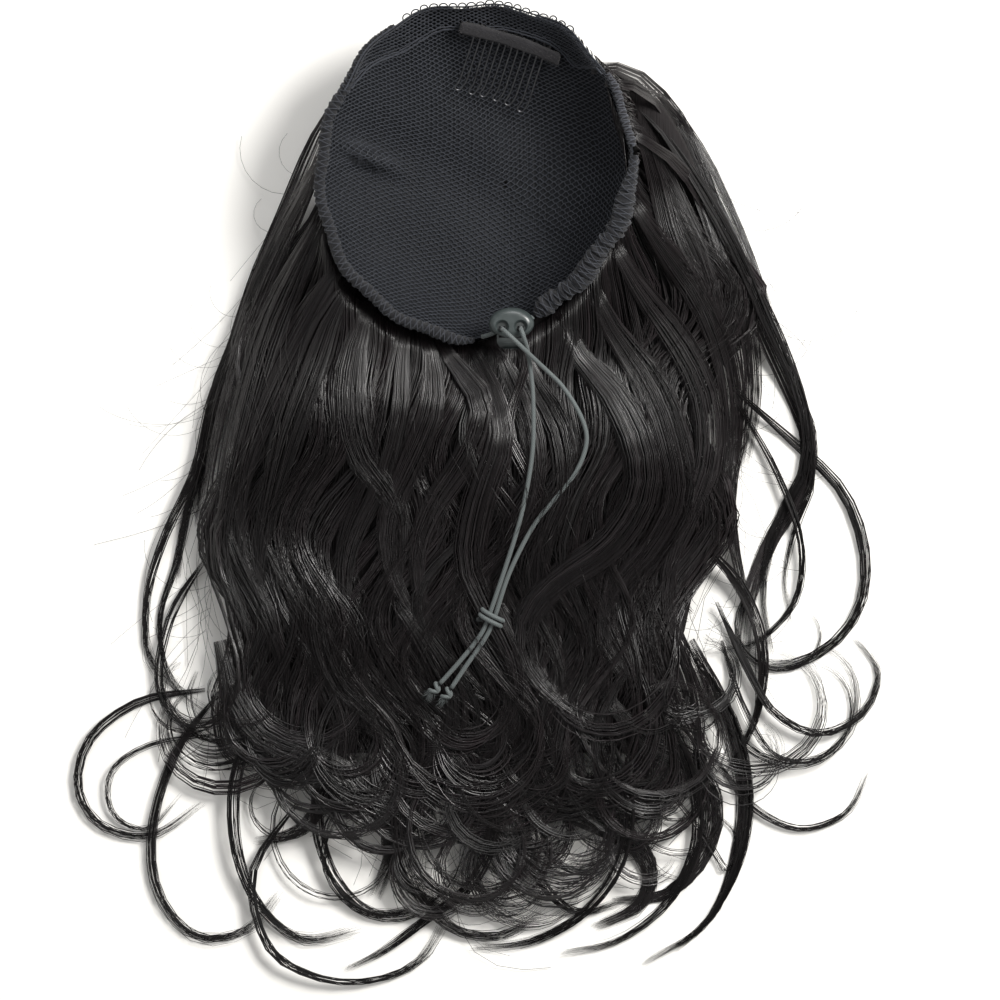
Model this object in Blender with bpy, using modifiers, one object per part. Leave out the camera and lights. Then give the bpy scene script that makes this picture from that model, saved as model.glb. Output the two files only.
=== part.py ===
"""Drawstring ponytail hairpiece, lying on its hair with the net cap open upwards.

Metres, +Z up. +Y points from the hair's tips to the comb end of the cap, +X to the right as seen
from above. The hair rests on z = 0, and the origin is under the middle of the whole piece.
"""

import math

import bmesh
import bpy
from mathutils import Vector

MM = 0.001
TURN = 2 * math.pi

# Clearances and merging
SEAT_GAP = 0.3 * MM
WELD_DISTANCE = 0.01 * MM

# Shading and curves
SMOOTH_ANGLE = math.radians(40)
BEVEL_ANGLE = math.radians(50)
CURVE_DENSITY = 12

# Net cap
CAP_WIDTH = 135 * MM
CAP_LENGTH = 146 * MM
CAP_CENTRE_X = 1 * MM
CAP_CENTRE_Y = 138 * MM
CAP_FLOOR = 13 * MM
RIM_TOP = 60 * MM
POLE_SHIFT_X = 11 * MM
POLE_SHIFT_Y = -4 * MM
NET_WALL = 1.2 * MM
BOWL_ROUNDNESS = 2.2
BOWL_TURN_STEPS = 36
BOWL_RING_SHARES = (0.28, 0.52, 0.72, 0.86, 0.955, 1.0)
GATHER_COUNT = 14
GATHER_DEPTH = 0.7 * MM
DENT_X = -47 * MM
DENT_Y = 145 * MM
DENT_LENGTH = 12 * MM
DENT_WIDTH = 5 * MM
DENT_DEPTH = 4 * MM
DENT_SLANT = math.radians(-22)
DENT_FADE = 8

# The rim as seen from above, a row for every 30 degrees counter-clockwise from +X. reach is a share
# of the cap's half width and half length, height a share of RIM_TOP, steepness the bowl's wall
# exponent, and cover the hair outside it as a share of CROWN_THICKNESS.
RIM_COLUMNS = ("degrees", "reach", "height", "steepness", "cover")
RIM_ROWS = (
    (0, 0.950, 1.00, 0.55, 1.00),
    (30, 0.970, 0.95, 0.60, 0.80),
    (60, 1.000, 0.86, 0.75, 0.50),
    (90, 0.980, 0.80, 0.85, 0.35),
    (120, 1.020, 0.80, 0.85, 0.35),
    (150, 0.990, 0.80, 0.75, 0.35),
    (180, 1.000, 0.80, 0.70, 0.60),
    (210, 1.000, 0.77, 0.70, 0.90),
    (240, 0.970, 0.71, 0.65, 1.00),
    (270, 0.955, 0.66, 0.60, 1.00),
    (300, 0.870, 0.74, 0.55, 1.00),
    (330, 0.880, 0.93, 0.55, 1.00),
)

# Rim casings and weft strip, from one end to the other in degrees round the rim
LEFT_CASING_FROM = 152
LEFT_CASING_TO = 268
LEFT_CASING_RADIUS = 2.6 * MM
LEFT_CASING_GATHERS = 17
RIGHT_CASING_FROM = -67
RIGHT_CASING_TO = 6
RIGHT_CASING_RADIUS = 4.3 * MM
RIGHT_CASING_GATHERS = 11
WEFT_FROM = 9
WEFT_TO = 36
WEFT_RADIUS = 2.0 * MM
WEFT_STITCHES = 5
CASING_SIDES = 8
GATHER_SHARE = 0.13
ROOM_MARGIN = 1

# Folded hem with its open loops, at the comb end
HEM_FROM = 39
HEM_TO = 149
HEM_RINGS = 3
HEM_RISE = 3.6 * MM
HEM_WALL = 0.9 * MM
HEM_STEPS = 26
LOOP_FROM = 58
LOOP_TO = 112
LOOP_COUNT = 16
LOOP_WIDTH = 2.4 * MM
LOOP_HEIGHT = 1.7 * MM

# Comb
COMB_CENTRE_X = 14 * MM
COMB_CENTRE_Y = 195 * MM
COMB_LENGTH = 45 * MM
COMB_WIDTH = 5.4 * MM
COMB_THICKNESS = 3.2 * MM
COMB_SLANT = math.radians(-18)
COMB_BOW = 1.6 * MM
COMB_STEPS = 8
COMB_SIDES = 8
COMB_TILT = math.radians(30)
COMB_SEAT_GAP = 1.4 * MM
WIRE_RADIUS = 0.4 * MM
TOOTH_COUNT = 6
TOOTH_PITCH = 5.6 * MM
TOOTH_GAP = 2.8 * MM
TOOTH_REACH = 25 * MM
TOOTH_KINK = 1.6 * MM
WIRE_GROOVE_DEPTH = 2.6 * MM

# Toggle
TOGGLE_X = 14.3 * MM
TOGGLE_Y = 74 * MM
TOGGLE_Z = 50.5 * MM
TOGGLE_WIDTH = 19.4 * MM
TOGGLE_LENGTH = 13.5 * MM
TOGGLE_THICKNESS = 8 * MM
TOGGLE_ROUND = 2.9 * MM
TOGGLE_SIDES = 24
HOLE_SPACING = 8 * MM
HOLE_RADIUS = 2.15 * MM
HOLE_SHIFT_Y = -1.5 * MM
HOLE_SIDES = 14
PLUNGER_WIDTH = 12.4 * MM
PLUNGER_THICKNESS = 4.2 * MM
PLUNGER_REACH = 4.1 * MM
PLUNGER_TRAVEL = 2.5 * MM
PLUNGER_ROUND = 3.6 * MM
POCKET_WALL = 2.6 * MM

# Elastic cord
CORD_RADIUS = 0.95 * MM
CORD_STEP = 5.6 * MM
KNOT_TURNS = 2
KNOT_HALF_WIDTH = 5.0 * MM
KNOT_PITCH = 2.5 * MM
KNOT_POINTS_PER_TURN = 12
END_KNOT_RADIUS = 2.2 * MM
END_KNOT_LENGTH = 7.5 * MM

# The two cords' routes, from the casing's end through the toggle to the end knot, in millimetres
CORD_FRONT_ROUTE = (
    (1.7, 68.4, 40.9),
    (5.0, 69.3, 42.4),
    (8.4, 70.9, 44.0),
    (10.2, 71.6, 46.2),
    (10.3, 71.6, 50.0),
    (10.3, 71.7, 54.4),
    (11.5, 70.6, 57.9),
    (14.6, 67.8, 58.8),
    (18.4, 64.2, 57.2),
    (22.2, 60.6, 53.8),
    (26.4, 56.7, 50.2),
    (30.6, 52.8, 47.6),
    (36.0, 47.3, 46.4),
    (42.2, 38.0, 45.8),
    (46.0, 28.8, 44.8),
    (46.1, 21.5, 43.9),
    (42.6, 12.0, 42.8),
    (35.3, 2.0, 41.4),
    (24.0, -12.0, 39.4),
    (13.9, -31.4, 36.2),
    (7.8, -49.5, 33.0),
    (5.7, -55.4, 32.0),
    (2.2, -61.8, 31.0),
    (-4.8, -71.9, 29.4),
    (-11.4, -81.8, 27.8),
)
CORD_BACK_ROUTE = (
    (23.6, 77.0, 43.4),
    (21.4, 74.6, 43.3),
    (19.2, 72.7, 44.0),
    (18.4, 71.8, 46.4),
    (18.3, 71.65, 50.0),
    (18.3, 71.9, 54.0),
    (18.6, 71.1, 56.6),
    (19.6, 68.0, 56.6),
    (20.7, 64.3, 53.9),
    (21.6, 60.6, 50.4),
    (22.5, 54.5, 47.2),
    (23.6, 41.7, 46.0),
    (23.4, 20.2, 44.0),
    (20.0, -1.3, 41.2),
    (16.4, -15.5, 39.0),
    (11.6, -30.6, 36.3),
    (5.5, -48.7, 33.1),
    (3.4, -54.6, 32.1),
    (0.0, -60.6, 31.1),
    (-8.0, -70.6, 29.4),
    (-16.2, -79.8, 27.8),
)
KNOT_AT = (5.6, -52.1, 32.6)

# Hair
HAIR_WIDTH = 350 * MM
HAIR_LENGTH = 400 * MM
HAIR_TOP_Y = 188 * MM
HAIR_HEIGHT = 48 * MM
HAIR_SINK = 2 * MM
CROWN_END_Y = 60 * MM
CROWN_THICKNESS = 9 * MM
CROWN_DROP = 5.5 * MM
CROWN_TURN_STEPS = 24
CROWN_RING_SHARES = (0.45, 0.75, 0.92, 1.0)
EDGE_HEIGHT = 3 * MM
MANE_STEPS = 18
RIDGE_COUNT = 10
RIDGE_DEPTH = 4 * MM
RIDGE_SWELL = 1.6 * MM
RIDGE_DRIFT = 0.37
WAVE_LENGTH = 97 * MM
WAVE_SWAY = 8 * MM
WAVE_LAG = 1.3
FRINGE_DEPTH = 12 * MM
FRINGE_RISE = 5
LOCK_WIDTH = 12 * MM
LOCK_FLATNESS = 0.55
LOCK_SIDES = 6
LOCK_STEP = 20 * MM
LOCK_SINK = 0.5 * MM
LOCK_ROOT_SHARE = 0.7
LOCK_TIP_SHARE = 0.35
LOCK_SWELL_AT = 0.25
LOCK_SETTLE = 0.2
SMALLEST_PIECE = MM ** 3

# The dense part of the hair. along is a share of HAIR_LENGTH from the top, left and right are shares
# of half of HAIR_WIDTH, and height is a share of HAIR_HEIGHT.
MANE_COLUMNS = ("along", "left", "right", "height")
MANE_ROWS = (
    (0.011, -0.190, 0.360, 0.25),
    (0.054, -0.330, 0.450, 0.75),
    (0.097, -0.385, 0.520, 0.90),
    (0.151, -0.465, 0.590, 0.92),
    (0.215, -0.540, 0.665, 0.90),
    (0.290, -0.600, 0.710, 0.73),
    (0.366, -0.650, 0.655, 0.90),
    (0.419, -0.670, 0.620, 0.87),
    (0.495, -0.690, 0.640, 0.78),
    (0.548, -0.690, 0.620, 0.67),
    (0.602, -0.690, 0.590, 0.58),
    (0.667, -0.680, 0.575, 0.49),
    (0.731, -0.640, 0.585, 0.42),
    (0.785, -0.570, 0.545, 0.28),
    (0.817, -0.500, 0.480, 0.16),
)

# The locks, each with its name, its width and its route from root to tip. The width is a share of
# LOCK_WIDTH. A place on a route is a share of half of HAIR_WIDTH across, and a share of HAIR_LENGTH
# down from the top.
LOCK_ROWS = (
    ("left_tuft", 1.15, (
        (-0.31, 0.24), (-0.39, 0.28), (-0.46, 0.35), (-0.53, 0.41),
        (-0.56, 0.48), (-0.60, 0.54), (-0.63, 0.61),
    )),
    ("left_wave", 1.15, (
        (-0.18, 0.28), (-0.21, 0.35), (-0.31, 0.41), (-0.34, 0.48),
        (-0.32, 0.55), (-0.39, 0.62), (-0.46, 0.69),
    )),
    ("middle_wave", 1.05, (
        (-0.02, 0.31), (-0.06, 0.38), (-0.01, 0.45), (-0.07, 0.52),
        (-0.12, 0.59), (-0.06, 0.66), (-0.10, 0.74),
    )),
    ("right_middle_wave", 1.10, (
        (0.16, 0.29), (0.28, 0.35), (0.29, 0.42), (0.22, 0.49),
        (0.17, 0.56), (0.26, 0.63), (0.33, 0.70),
    )),
    ("right_tuft", 1.20, (
        (0.30, 0.24), (0.39, 0.30), (0.46, 0.37), (0.47, 0.44),
        (0.38, 0.51), (0.34, 0.57), (0.45, 0.63), (0.48, 0.70),
    )),
    ("right_side", 1.00, (
        (0.38, 0.16), (0.47, 0.22), (0.57, 0.28), (0.61, 0.36),
        (0.57, 0.43), (0.61, 0.50), (0.65, 0.56),
    )),
    ("right_upper", 0.80, (
        (0.42, 0.06), (0.53, 0.12), (0.63, 0.20), (0.71, 0.28),
        (0.79, 0.36), (0.81, 0.44), (0.73, 0.50), (0.70, 0.57),
    )),
    ("left_upper", 0.80, (
        (-0.36, 0.11), (-0.44, 0.16), (-0.52, 0.22), (-0.58, 0.29),
        (-0.65, 0.36), (-0.68, 0.44), (-0.72, 0.50),
    )),
    ("left_low", 0.55, ((-0.67, 0.54), (-0.76, 0.60), (-0.78, 0.68), (-0.69, 0.73), (-0.58, 0.74))),
    ("left_ring", 0.40, (
        (-0.67, 0.68), (-0.83, 0.69), (-0.95, 0.73), (-0.98, 0.78),
        (-0.92, 0.82), (-0.80, 0.83), (-0.69, 0.80),
    )),
    ("left_corner", 0.85, (
        (-0.63, 0.68), (-0.74, 0.74), (-0.80, 0.83), (-0.79, 0.89),
        (-0.69, 0.94), (-0.57, 0.94), (-0.50, 0.90),
    )),
    ("bottom_1", 1.10, (
        (-0.51, 0.69), (-0.59, 0.76), (-0.59, 0.84),
        (-0.54, 0.91), (-0.43, 0.94), (-0.31, 0.94),
    )),
    ("bottom_2", 0.80, (
        (-0.44, 0.80), (-0.56, 0.87), (-0.52, 0.95), (-0.39, 0.99),
        (-0.26, 0.99), (-0.14, 0.97), (-0.08, 0.93),
    )),
    ("bottom_3", 1.15, ((-0.33, 0.72), (-0.39, 0.80), (-0.36, 0.87), (-0.26, 0.92), (-0.13, 0.91))),
    ("bottom_4", 1.15, (
        (-0.17, 0.73), (-0.20, 0.81), (-0.17, 0.88),
        (-0.07, 0.93), (0.05, 0.94), (0.15, 0.92),
    )),
    ("bottom_5", 1.10, (
        (0.00, 0.74), (0.04, 0.82), (-0.01, 0.88),
        (-0.12, 0.92), (-0.22, 0.95), (-0.31, 0.97),
    )),
    ("bottom_6", 1.15, ((0.15, 0.73), (0.11, 0.81), (0.14, 0.87), (0.24, 0.91), (0.36, 0.90))),
    ("bottom_7", 1.10, (
        (0.30, 0.71), (0.37, 0.79), (0.35, 0.86),
        (0.26, 0.92), (0.13, 0.95), (0.00, 0.95),
    )),
    ("bottom_8", 1.05, (
        (0.43, 0.69), (0.52, 0.76), (0.54, 0.84),
        (0.47, 0.91), (0.34, 0.95), (0.22, 0.96),
    )),
    ("right_corner", 0.95, (
        (0.52, 0.63), (0.63, 0.71), (0.66, 0.80),
        (0.63, 0.87), (0.55, 0.93), (0.42, 0.97),
    )),
    ("right_circle", 0.50, (
        (0.61, 0.35), (0.77, 0.41), (0.89, 0.46), (0.95, 0.52),
        (0.94, 0.59), (0.86, 0.63), (0.72, 0.65), (0.61, 0.62),
    )),
    ("right_ring", 0.40, (
        (0.58, 0.58), (0.66, 0.66), (0.73, 0.70), (0.84, 0.72),
        (0.94, 0.70), (0.98, 0.66), (0.93, 0.62),
    )),
    ("right_low_ring", 0.42, ((0.58, 0.75), (0.67, 0.80), (0.79, 0.83), (0.90, 0.81), (0.96, 0.77))),
    ("right_side_low", 0.70, ((0.55, 0.52), (0.65, 0.57), (0.70, 0.63), (0.68, 0.70), (0.61, 0.76))),
)


def row_value(columns, rows, name, row):
    """One named value of one row of a table."""
    return rows[row][columns.index(name)]


def around_rim(name, degrees):
    """A column of the rim's table, read smoothly at any angle."""
    count = len(RIM_ROWS)
    place = (degrees / 360 * count) % count
    first = int(place)
    share = place - first
    before, start, end, after = (
        row_value(RIM_COLUMNS, RIM_ROWS, name, (first + step) % count) for step in (-1, 0, 1, 2)
    )
    return hermite(before, start, end, after, share)


def hermite(before, start, end, after, share):
    """A smooth curve from start to end, with its slopes from the values on either side."""
    slope_start = (end - before) / 2
    slope_end = (after - start) / 2
    squared = share * share
    cubed = squared * share
    return (
        (2 * cubed - 3 * squared + 1) * start
        + (cubed - 2 * squared + share) * slope_start
        + (3 * squared - 2 * cubed) * end
        + (cubed - squared) * slope_end
    )


def mane_value(name, along):
    """A column of the mane's table at a share of the hair's length."""
    places = [row[0] for row in MANE_ROWS]
    along = min(max(along, places[0]), places[-1])
    first = max(i for i, place in enumerate(places[:-1]) if place <= along)
    share = (along - places[first]) / (places[first + 1] - places[first])
    picks = (max(first - 1, 0), first, first + 1, min(first + 2, len(places) - 1))
    return hermite(*(row_value(MANE_COLUMNS, MANE_ROWS, name, pick) for pick in picks), share)


def rim_point(degrees, grow=0.0, drop=0.0):
    """A point of the net's top edge, moved outwards by grow and down by drop."""
    angle = math.radians(degrees)
    reach = around_rim("reach", degrees)
    gather = GATHER_DEPTH * math.sin(GATHER_COUNT * angle)
    half_width = CAP_WIDTH / 2 * reach + grow + gather
    half_length = CAP_LENGTH / 2 * reach + grow + gather
    return Vector((
        CAP_CENTRE_X + half_width * math.cos(angle),
        CAP_CENTRE_Y + half_length * math.sin(angle),
        RIM_TOP * around_rim("height", degrees) - drop,
    ))


def dent_height(x, y):
    """How far the dent in the left wall stands into the bowl at a place seen from above."""
    along = (x - DENT_X) * math.cos(DENT_SLANT) + (y - DENT_Y) * math.sin(DENT_SLANT)
    across = (y - DENT_Y) * math.cos(DENT_SLANT) - (x - DENT_X) * math.sin(DENT_SLANT)
    return DENT_DEPTH * math.exp(-((along / DENT_LENGTH) ** 2) - (across / DENT_WIDTH) ** 2)


def bowl_point(degrees, share, grow=0.0, drop=0.0, dented=False):
    """A point of the bowl: share runs from 0 at its deepest point to 1 at the rim."""
    pole = Vector((CAP_CENTRE_X + POLE_SHIFT_X, CAP_CENTRE_Y + POLE_SHIFT_Y, CAP_FLOOR + NET_WALL - grow))
    rim = rim_point(degrees, grow, drop)
    steepness = around_rim("steepness", degrees)
    climb = 1 - (1 - share ** BOWL_ROUNDNESS) ** steepness
    point = pole.lerp(rim, share)
    point.z = pole.z + (rim.z - pole.z) * climb
    if dented:
        point.z += dent_height(point.x, point.y) * (1 - share ** DENT_FADE)
    return point


def facet_point(degrees, share, grow=0.0):
    """A point of the bowl on the straight line between two of the net's own columns."""
    step = 360 / BOWL_TURN_STEPS
    first = math.floor(degrees / step)
    ahead = bowl_point((first + 1) * step, share, grow)
    return bowl_point(first * step, share, grow).lerp(ahead, degrees / step - first)


def bowl_height(x, y, grow=0.0):
    """The bowl's height at a place seen from above, found by halving the share of the way out."""
    pole = bowl_point(0, 0)
    degrees = math.degrees(math.atan2(y - pole.y, x - pole.x))
    distance = math.hypot(x - pole.x, y - pole.y)
    best = min(
        (turned(degrees, step, pole) for step in range(-40, 41)),
        key=lambda pair: pair[0],
    )[1]
    low, high = 0.0, 1.0
    for _ in range(20):
        share = (low + high) / 2
        point = bowl_point(best, share, grow)
        if math.hypot(point.x - pole.x, point.y - pole.y) < distance:
            low = share
        else:
            high = share
    return bowl_point(best, low, grow).z


def turned(degrees, step, pole):
    """How far off a heading from the pole a rim angle is, with that angle."""
    guess = degrees + step
    rim = rim_point(guess)
    heading = math.degrees(math.atan2(rim.y - pole.y, rim.x - pole.x))
    miss = abs((heading - degrees + 180) % 360 - 180)
    return miss, guess


def mane_height(x, y):
    """The smooth top of the dense hair at a place seen from above, or 0 beside it."""
    along = (HAIR_TOP_Y - y) / HAIR_LENGTH
    if not MANE_ROWS[0][0] <= along <= MANE_ROWS[-1][0]:
        return 0.0
    left = mane_value("left", along) * HAIR_WIDTH / 2
    right = mane_value("right", along) * HAIR_WIDTH / 2
    if not left <= x <= right:
        return 0.0
    return mane_value("height", along) * HAIR_HEIGHT * mound((x - left) / (right - left))


def mound(share):
    """The rounded section of the hair, from 0 at either edge to 1 in the middle."""
    return math.sqrt(1 - abs(2 * share - 1) ** 3)


def smooth_path(points, step):
    """A smooth curve through hand-chosen points, read at even steps."""
    dense = []
    last = len(points) - 1
    for i in range(last):
        before, start, end, after = (points[min(max(i + k, 0), last)] for k in (-1, 0, 1, 2))
        dense += [
            Vector(hermite(before[k], start[k], end[k], after[k], j / CURVE_DENSITY) for k in range(3))
            for j in range(CURVE_DENSITY)
        ]
    dense.append(Vector(points[last]))
    lengths = [0.0]
    for start, end in zip(dense, dense[1:]):
        lengths.append(lengths[-1] + (end - start).length)
    count = max(2, round(lengths[-1] / step))
    return [point_along(dense, lengths, lengths[-1] * i / count) for i in range(count + 1)]


def point_along(points, lengths, distance):
    """The point of a polyline at a distance from its start."""
    for i in range(1, len(points)):
        if lengths[i] >= distance:
            share = (distance - lengths[i - 1]) / max(lengths[i] - lengths[i - 1], 1e-12)
            return points[i - 1].lerp(points[i], share)
    return points[-1].copy()


def make_collection(name):
    """A new collection in the scene."""
    collection = bpy.data.collections.new(name)
    bpy.context.scene.collection.children.link(collection)
    return collection


def make_material(name, color, roughness, metallic=0.0):
    """A Principled material with the sub-part's plain colour."""
    material = bpy.data.materials.new(name)
    material.use_nodes = True
    shader = material.node_tree.nodes["Principled BSDF"]
    shader.inputs["Base Color"].default_value = (*color, 1)
    shader.inputs["Roughness"].default_value = roughness
    shader.inputs["Metallic"].default_value = metallic
    return material


def add_object(name, data, collection, material=None):
    """A new object for a mesh or curve."""
    new = bpy.data.objects.new(name, data)
    collection.objects.link(new)
    if material:
        data.materials.append(material)
    return new


def as_tool(new):
    """Marks an object as a cutter or a guide, which isn't part of the piece."""
    new.hide_render = True
    new.display_type = "WIRE"
    return new


def mesh_from(name, build):
    """A mesh that a function fills in, with its faces turned outwards."""
    shape = bmesh.new()
    build(shape)
    bmesh.ops.remove_doubles(shape, verts=shape.verts, dist=WELD_DISTANCE)
    bmesh.ops.recalc_face_normals(shape, faces=shape.faces)
    mesh = bpy.data.meshes.new(name)
    shape.to_mesh(mesh)
    shape.free()
    mesh.shade_smooth()
    mesh.set_sharp_from_angle(angle=SMOOTH_ANGLE)
    return mesh


def bridge_rings(shape, rings, closed_ring=True):
    """Quads between neighbouring rings of vertices."""
    for lower, upper in zip(rings, rings[1:]):
        count = len(lower)
        for i in range(count if closed_ring else count - 1):
            following = (i + 1) % count
            shape.faces.new((lower[i], lower[following], upper[following], upper[i]))


def loft_tube(shape, sections):
    """A closed solid through rings of points, with a face at each end."""
    rings = [[shape.verts.new(point) for point in section] for section in sections]
    bridge_rings(shape, rings)
    shape.faces.new(reversed(rings[0]))
    shape.faces.new(rings[-1])


def add_boolean(target, name, operation, tool):
    """A Boolean on an object, with one tool object or a collection of them."""
    modifier = target.modifiers.new(name, "BOOLEAN")
    modifier.operation = operation
    modifier.solver = "EXACT"
    if isinstance(tool, bpy.types.Collection):
        modifier.operand_type = "COLLECTION"
        modifier.collection = tool
    else:
        modifier.object = tool
    return modifier


def add_solidify(target, thickness, offset):
    """Gives an open surface its wall."""
    modifier = target.modifiers.new("wall", "SOLIDIFY")
    modifier.thickness = thickness
    modifier.offset = offset
    return modifier


def add_tube(name, points, radius, resolution, collection, material=None):
    """A round tube with filled ends on a polyline."""
    curve = bpy.data.curves.new(name, "CURVE")
    curve.dimensions = "3D"
    curve.bevel_depth = radius
    curve.bevel_resolution = resolution
    curve.use_fill_caps = True
    spline = curve.splines.new("POLY")
    spline.points.add(len(points) - 1)
    for place, point in zip(spline.points, points):
        place.co = (*point, 1)
    return add_object(name, curve, collection, material)


def add_rim_tube(name, start, end, radius, gathers, collection, material=None, grow=0.0):
    """One gathered casing or strip along the rim, from one angle to another."""
    steps = 2 * gathers
    sections = []
    for i in range(steps + 1):
        degrees = start + (end - start) * i / steps
        centre = rim_point(degrees, NET_WALL / 2)
        ahead = rim_point(degrees + 1, NET_WALL / 2) - rim_point(degrees - 1, NET_WALL / 2)
        side = ahead.cross(Vector((0, 0, 1))).normalized()
        rise = side.cross(ahead).normalized()
        swell = GATHER_SHARE if i % 2 == 0 else -GATHER_SHARE
        size = radius * (1 + swell) + grow
        sections.append([
            centre + side * size * math.cos(TURN * k / CASING_SIDES)
            + rise * size * math.sin(TURN * k / CASING_SIDES)
            for k in range(CASING_SIDES)
        ])
    mesh = mesh_from(name, lambda shape: loft_tube(shape, sections))
    return add_object(name, mesh, collection, material)


def build_net_cap(parts, rim_cutters):
    """The bowl of net: one open surface with a thin wall, cut clear of what sits on its rim."""
    def fill(shape):
        """The bowl's surface, ring by ring from its deepest point."""
        rings = [
            [
                shape.verts.new(bowl_point(360 * i / BOWL_TURN_STEPS, share, dented=True))
                for i in range(BOWL_TURN_STEPS)
            ]
            for share in BOWL_RING_SHARES
        ]
        bridge_rings(shape, rings)
        pole = shape.verts.new(bowl_point(0, 0, dented=True))
        for i in range(BOWL_TURN_STEPS):
            shape.faces.new((pole, rings[0][i], rings[0][(i + 1) % BOWL_TURN_STEPS]))

    material = make_material("net", (0.028, 0.030, 0.036), 0.75)
    cap = add_object("net_cap", mesh_from("net_cap", fill), parts, material)
    flip_inwards(cap.data)
    add_solidify(cap, NET_WALL, -1)
    for cutter in rim_cutters:
        add_boolean(cap, "clear_" + cutter.name, "DIFFERENCE", cutter)
    return cap


def flip_inwards(mesh):
    """Turns the faces of a bowl's surface towards its hollow."""
    shape = bmesh.new()
    shape.from_mesh(mesh)
    middle = bowl_point(0, 0) + Vector((0, 0, RIM_TOP))
    for face in shape.faces:
        if face.normal.dot(middle - face.calc_center_median()) < 0:
            face.normal_flip()
    shape.to_mesh(mesh)
    shape.free()


def build_hem_band(parts):
    """The net's folded front edge, standing a little over the rim, with its loops cut through."""
    def fill(shape):
        """The hem's outer face, from its stitched edge up past the rim."""
        inset = -(1.5 * SEAT_GAP + HEM_WALL)
        columns = []
        for i in range(HEM_STEPS + 1):
            degrees = HEM_FROM + (HEM_TO - HEM_FROM) * i / HEM_STEPS
            column = [facet_point(degrees, share, inset) for share in BOWL_RING_SHARES[-HEM_RINGS:]]
            edge = column[-1]
            ends = max(0.0, math.sin(math.pi * i / HEM_STEPS)) ** 0.35
            column.append(edge + Vector((0, 0, HEM_RISE * ends + SEAT_GAP)))
            columns.append([shape.verts.new(point) for point in column])
        bridge_rings(shape, columns, closed_ring=False)

    material = make_material("hem_net", (0.030, 0.032, 0.038), 0.8)
    hem = add_object("hem_band", mesh_from("hem_band", fill), parts, material)
    flip_inwards(hem.data)
    add_solidify(hem, HEM_WALL, -1)
    loops = make_collection("loop_cutters")
    for i in range(LOOP_COUNT):
        degrees = LOOP_FROM + (LOOP_TO - LOOP_FROM) * i / (LOOP_COUNT - 1)
        add_loop_cutter(f"loop_{i}", degrees, loops)
    add_boolean(hem, "loops", "DIFFERENCE", loops)
    return hem


def add_loop_cutter(name, degrees, collection):
    """A diamond prism through the hem at one loop."""
    centre = rim_point(degrees, -HEM_WALL, -HEM_RISE / 2 - SEAT_GAP)
    outwards = rim_point(degrees, CAP_WIDTH) - rim_point(degrees)
    outwards.normalize()
    side = outwards.cross(Vector((0, 0, 1)))
    depth = 4 * HEM_WALL
    corners = (
        side * LOOP_WIDTH / 2,
        Vector((0, 0, LOOP_HEIGHT / 2)),
        -side * LOOP_WIDTH / 2,
        Vector((0, 0, -LOOP_HEIGHT / 2)),
    )
    sections = [[centre + outwards * depth * end + corner for corner in corners] for end in (-1, 1)]
    mesh = mesh_from(name, lambda shape: loft_tube(shape, sections))
    return as_tool(add_object(name, mesh, collection))


def comb_point(across, out, lift=0.0):
    """A place on the comb: across along its bar, out towards the teeth's tips, lift off the hem."""
    bow = COMB_BOW * (1 - (2 * across / COMB_LENGTH) ** 2)
    along = Vector((math.cos(COMB_SLANT), math.sin(COMB_SLANT), 0))
    outwards = Vector((math.sin(COMB_SLANT), -math.cos(COMB_SLANT), 0))
    base = Vector((COMB_CENTRE_X, COMB_CENTRE_Y, 0)) + along * across - outwards * bow
    base.z = bowl_height(base.x, base.y, -(SEAT_GAP + HEM_WALL))
    upwards = Vector((0, 0, 1))
    teeth_way = outwards * math.cos(COMB_TILT) - upwards * math.sin(COMB_TILT)
    normal = outwards * math.sin(COMB_TILT) + upwards * math.cos(COMB_TILT)
    return base + teeth_way * out + normal * (COMB_THICKNESS / 2 + COMB_SEAT_GAP + lift)


def build_comb(parts, tools):
    """The fabric covered bar, with a groove along its lower edge for the wire's upper bends."""
    corner_reach = math.cos(math.pi / COMB_SIDES)
    sections = []
    for i in range(COMB_STEPS + 1):
        across = COMB_LENGTH * (i / COMB_STEPS - 0.5)
        corners = []
        for k in range(COMB_SIDES):
            angle = TURN * (k + 0.5) / COMB_SIDES
            out = COMB_WIDTH / 2 / corner_reach * math.cos(angle)
            lift = COMB_THICKNESS / 2 / corner_reach * math.sin(angle)
            corners.append(comb_point(across, out, lift))
        sections.append(corners)
    bar_mesh = mesh_from("comb_bar", lambda shape: loft_tube(shape, sections))
    material = make_material("comb_cloth", (0.040, 0.038, 0.037), 0.9)
    bar = add_object("comb_bar", bar_mesh, parts, material)

    groove_half = WIRE_RADIUS + SEAT_GAP
    groove_top = COMB_WIDTH / 2 - WIRE_GROOVE_DEPTH
    groove_span = TOOTH_COUNT * TOOTH_PITCH + 2 * groove_half
    groove = []
    for i in range(COMB_STEPS + 1):
        across = groove_span * (i / COMB_STEPS - 0.5)
        groove.append([
            comb_point(across, out, lift)
            for out, lift in (
                (groove_top, -groove_half),
                (groove_top, groove_half),
                (COMB_WIDTH, groove_half),
                (COMB_WIDTH, -groove_half),
            )
        ])
    groove_mesh = mesh_from("comb_groove", lambda shape: loft_tube(shape, groove))
    cutter = as_tool(add_object("comb_groove", groove_mesh, tools))
    add_boolean(bar, "groove", "DIFFERENCE", cutter)

    wire_material = make_material("comb_wire", (0.05, 0.05, 0.052), 0.35, 0.9)
    add_tube("comb_teeth", wire_route(), WIRE_RADIUS, 1, parts, wire_material)
    return bar


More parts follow.
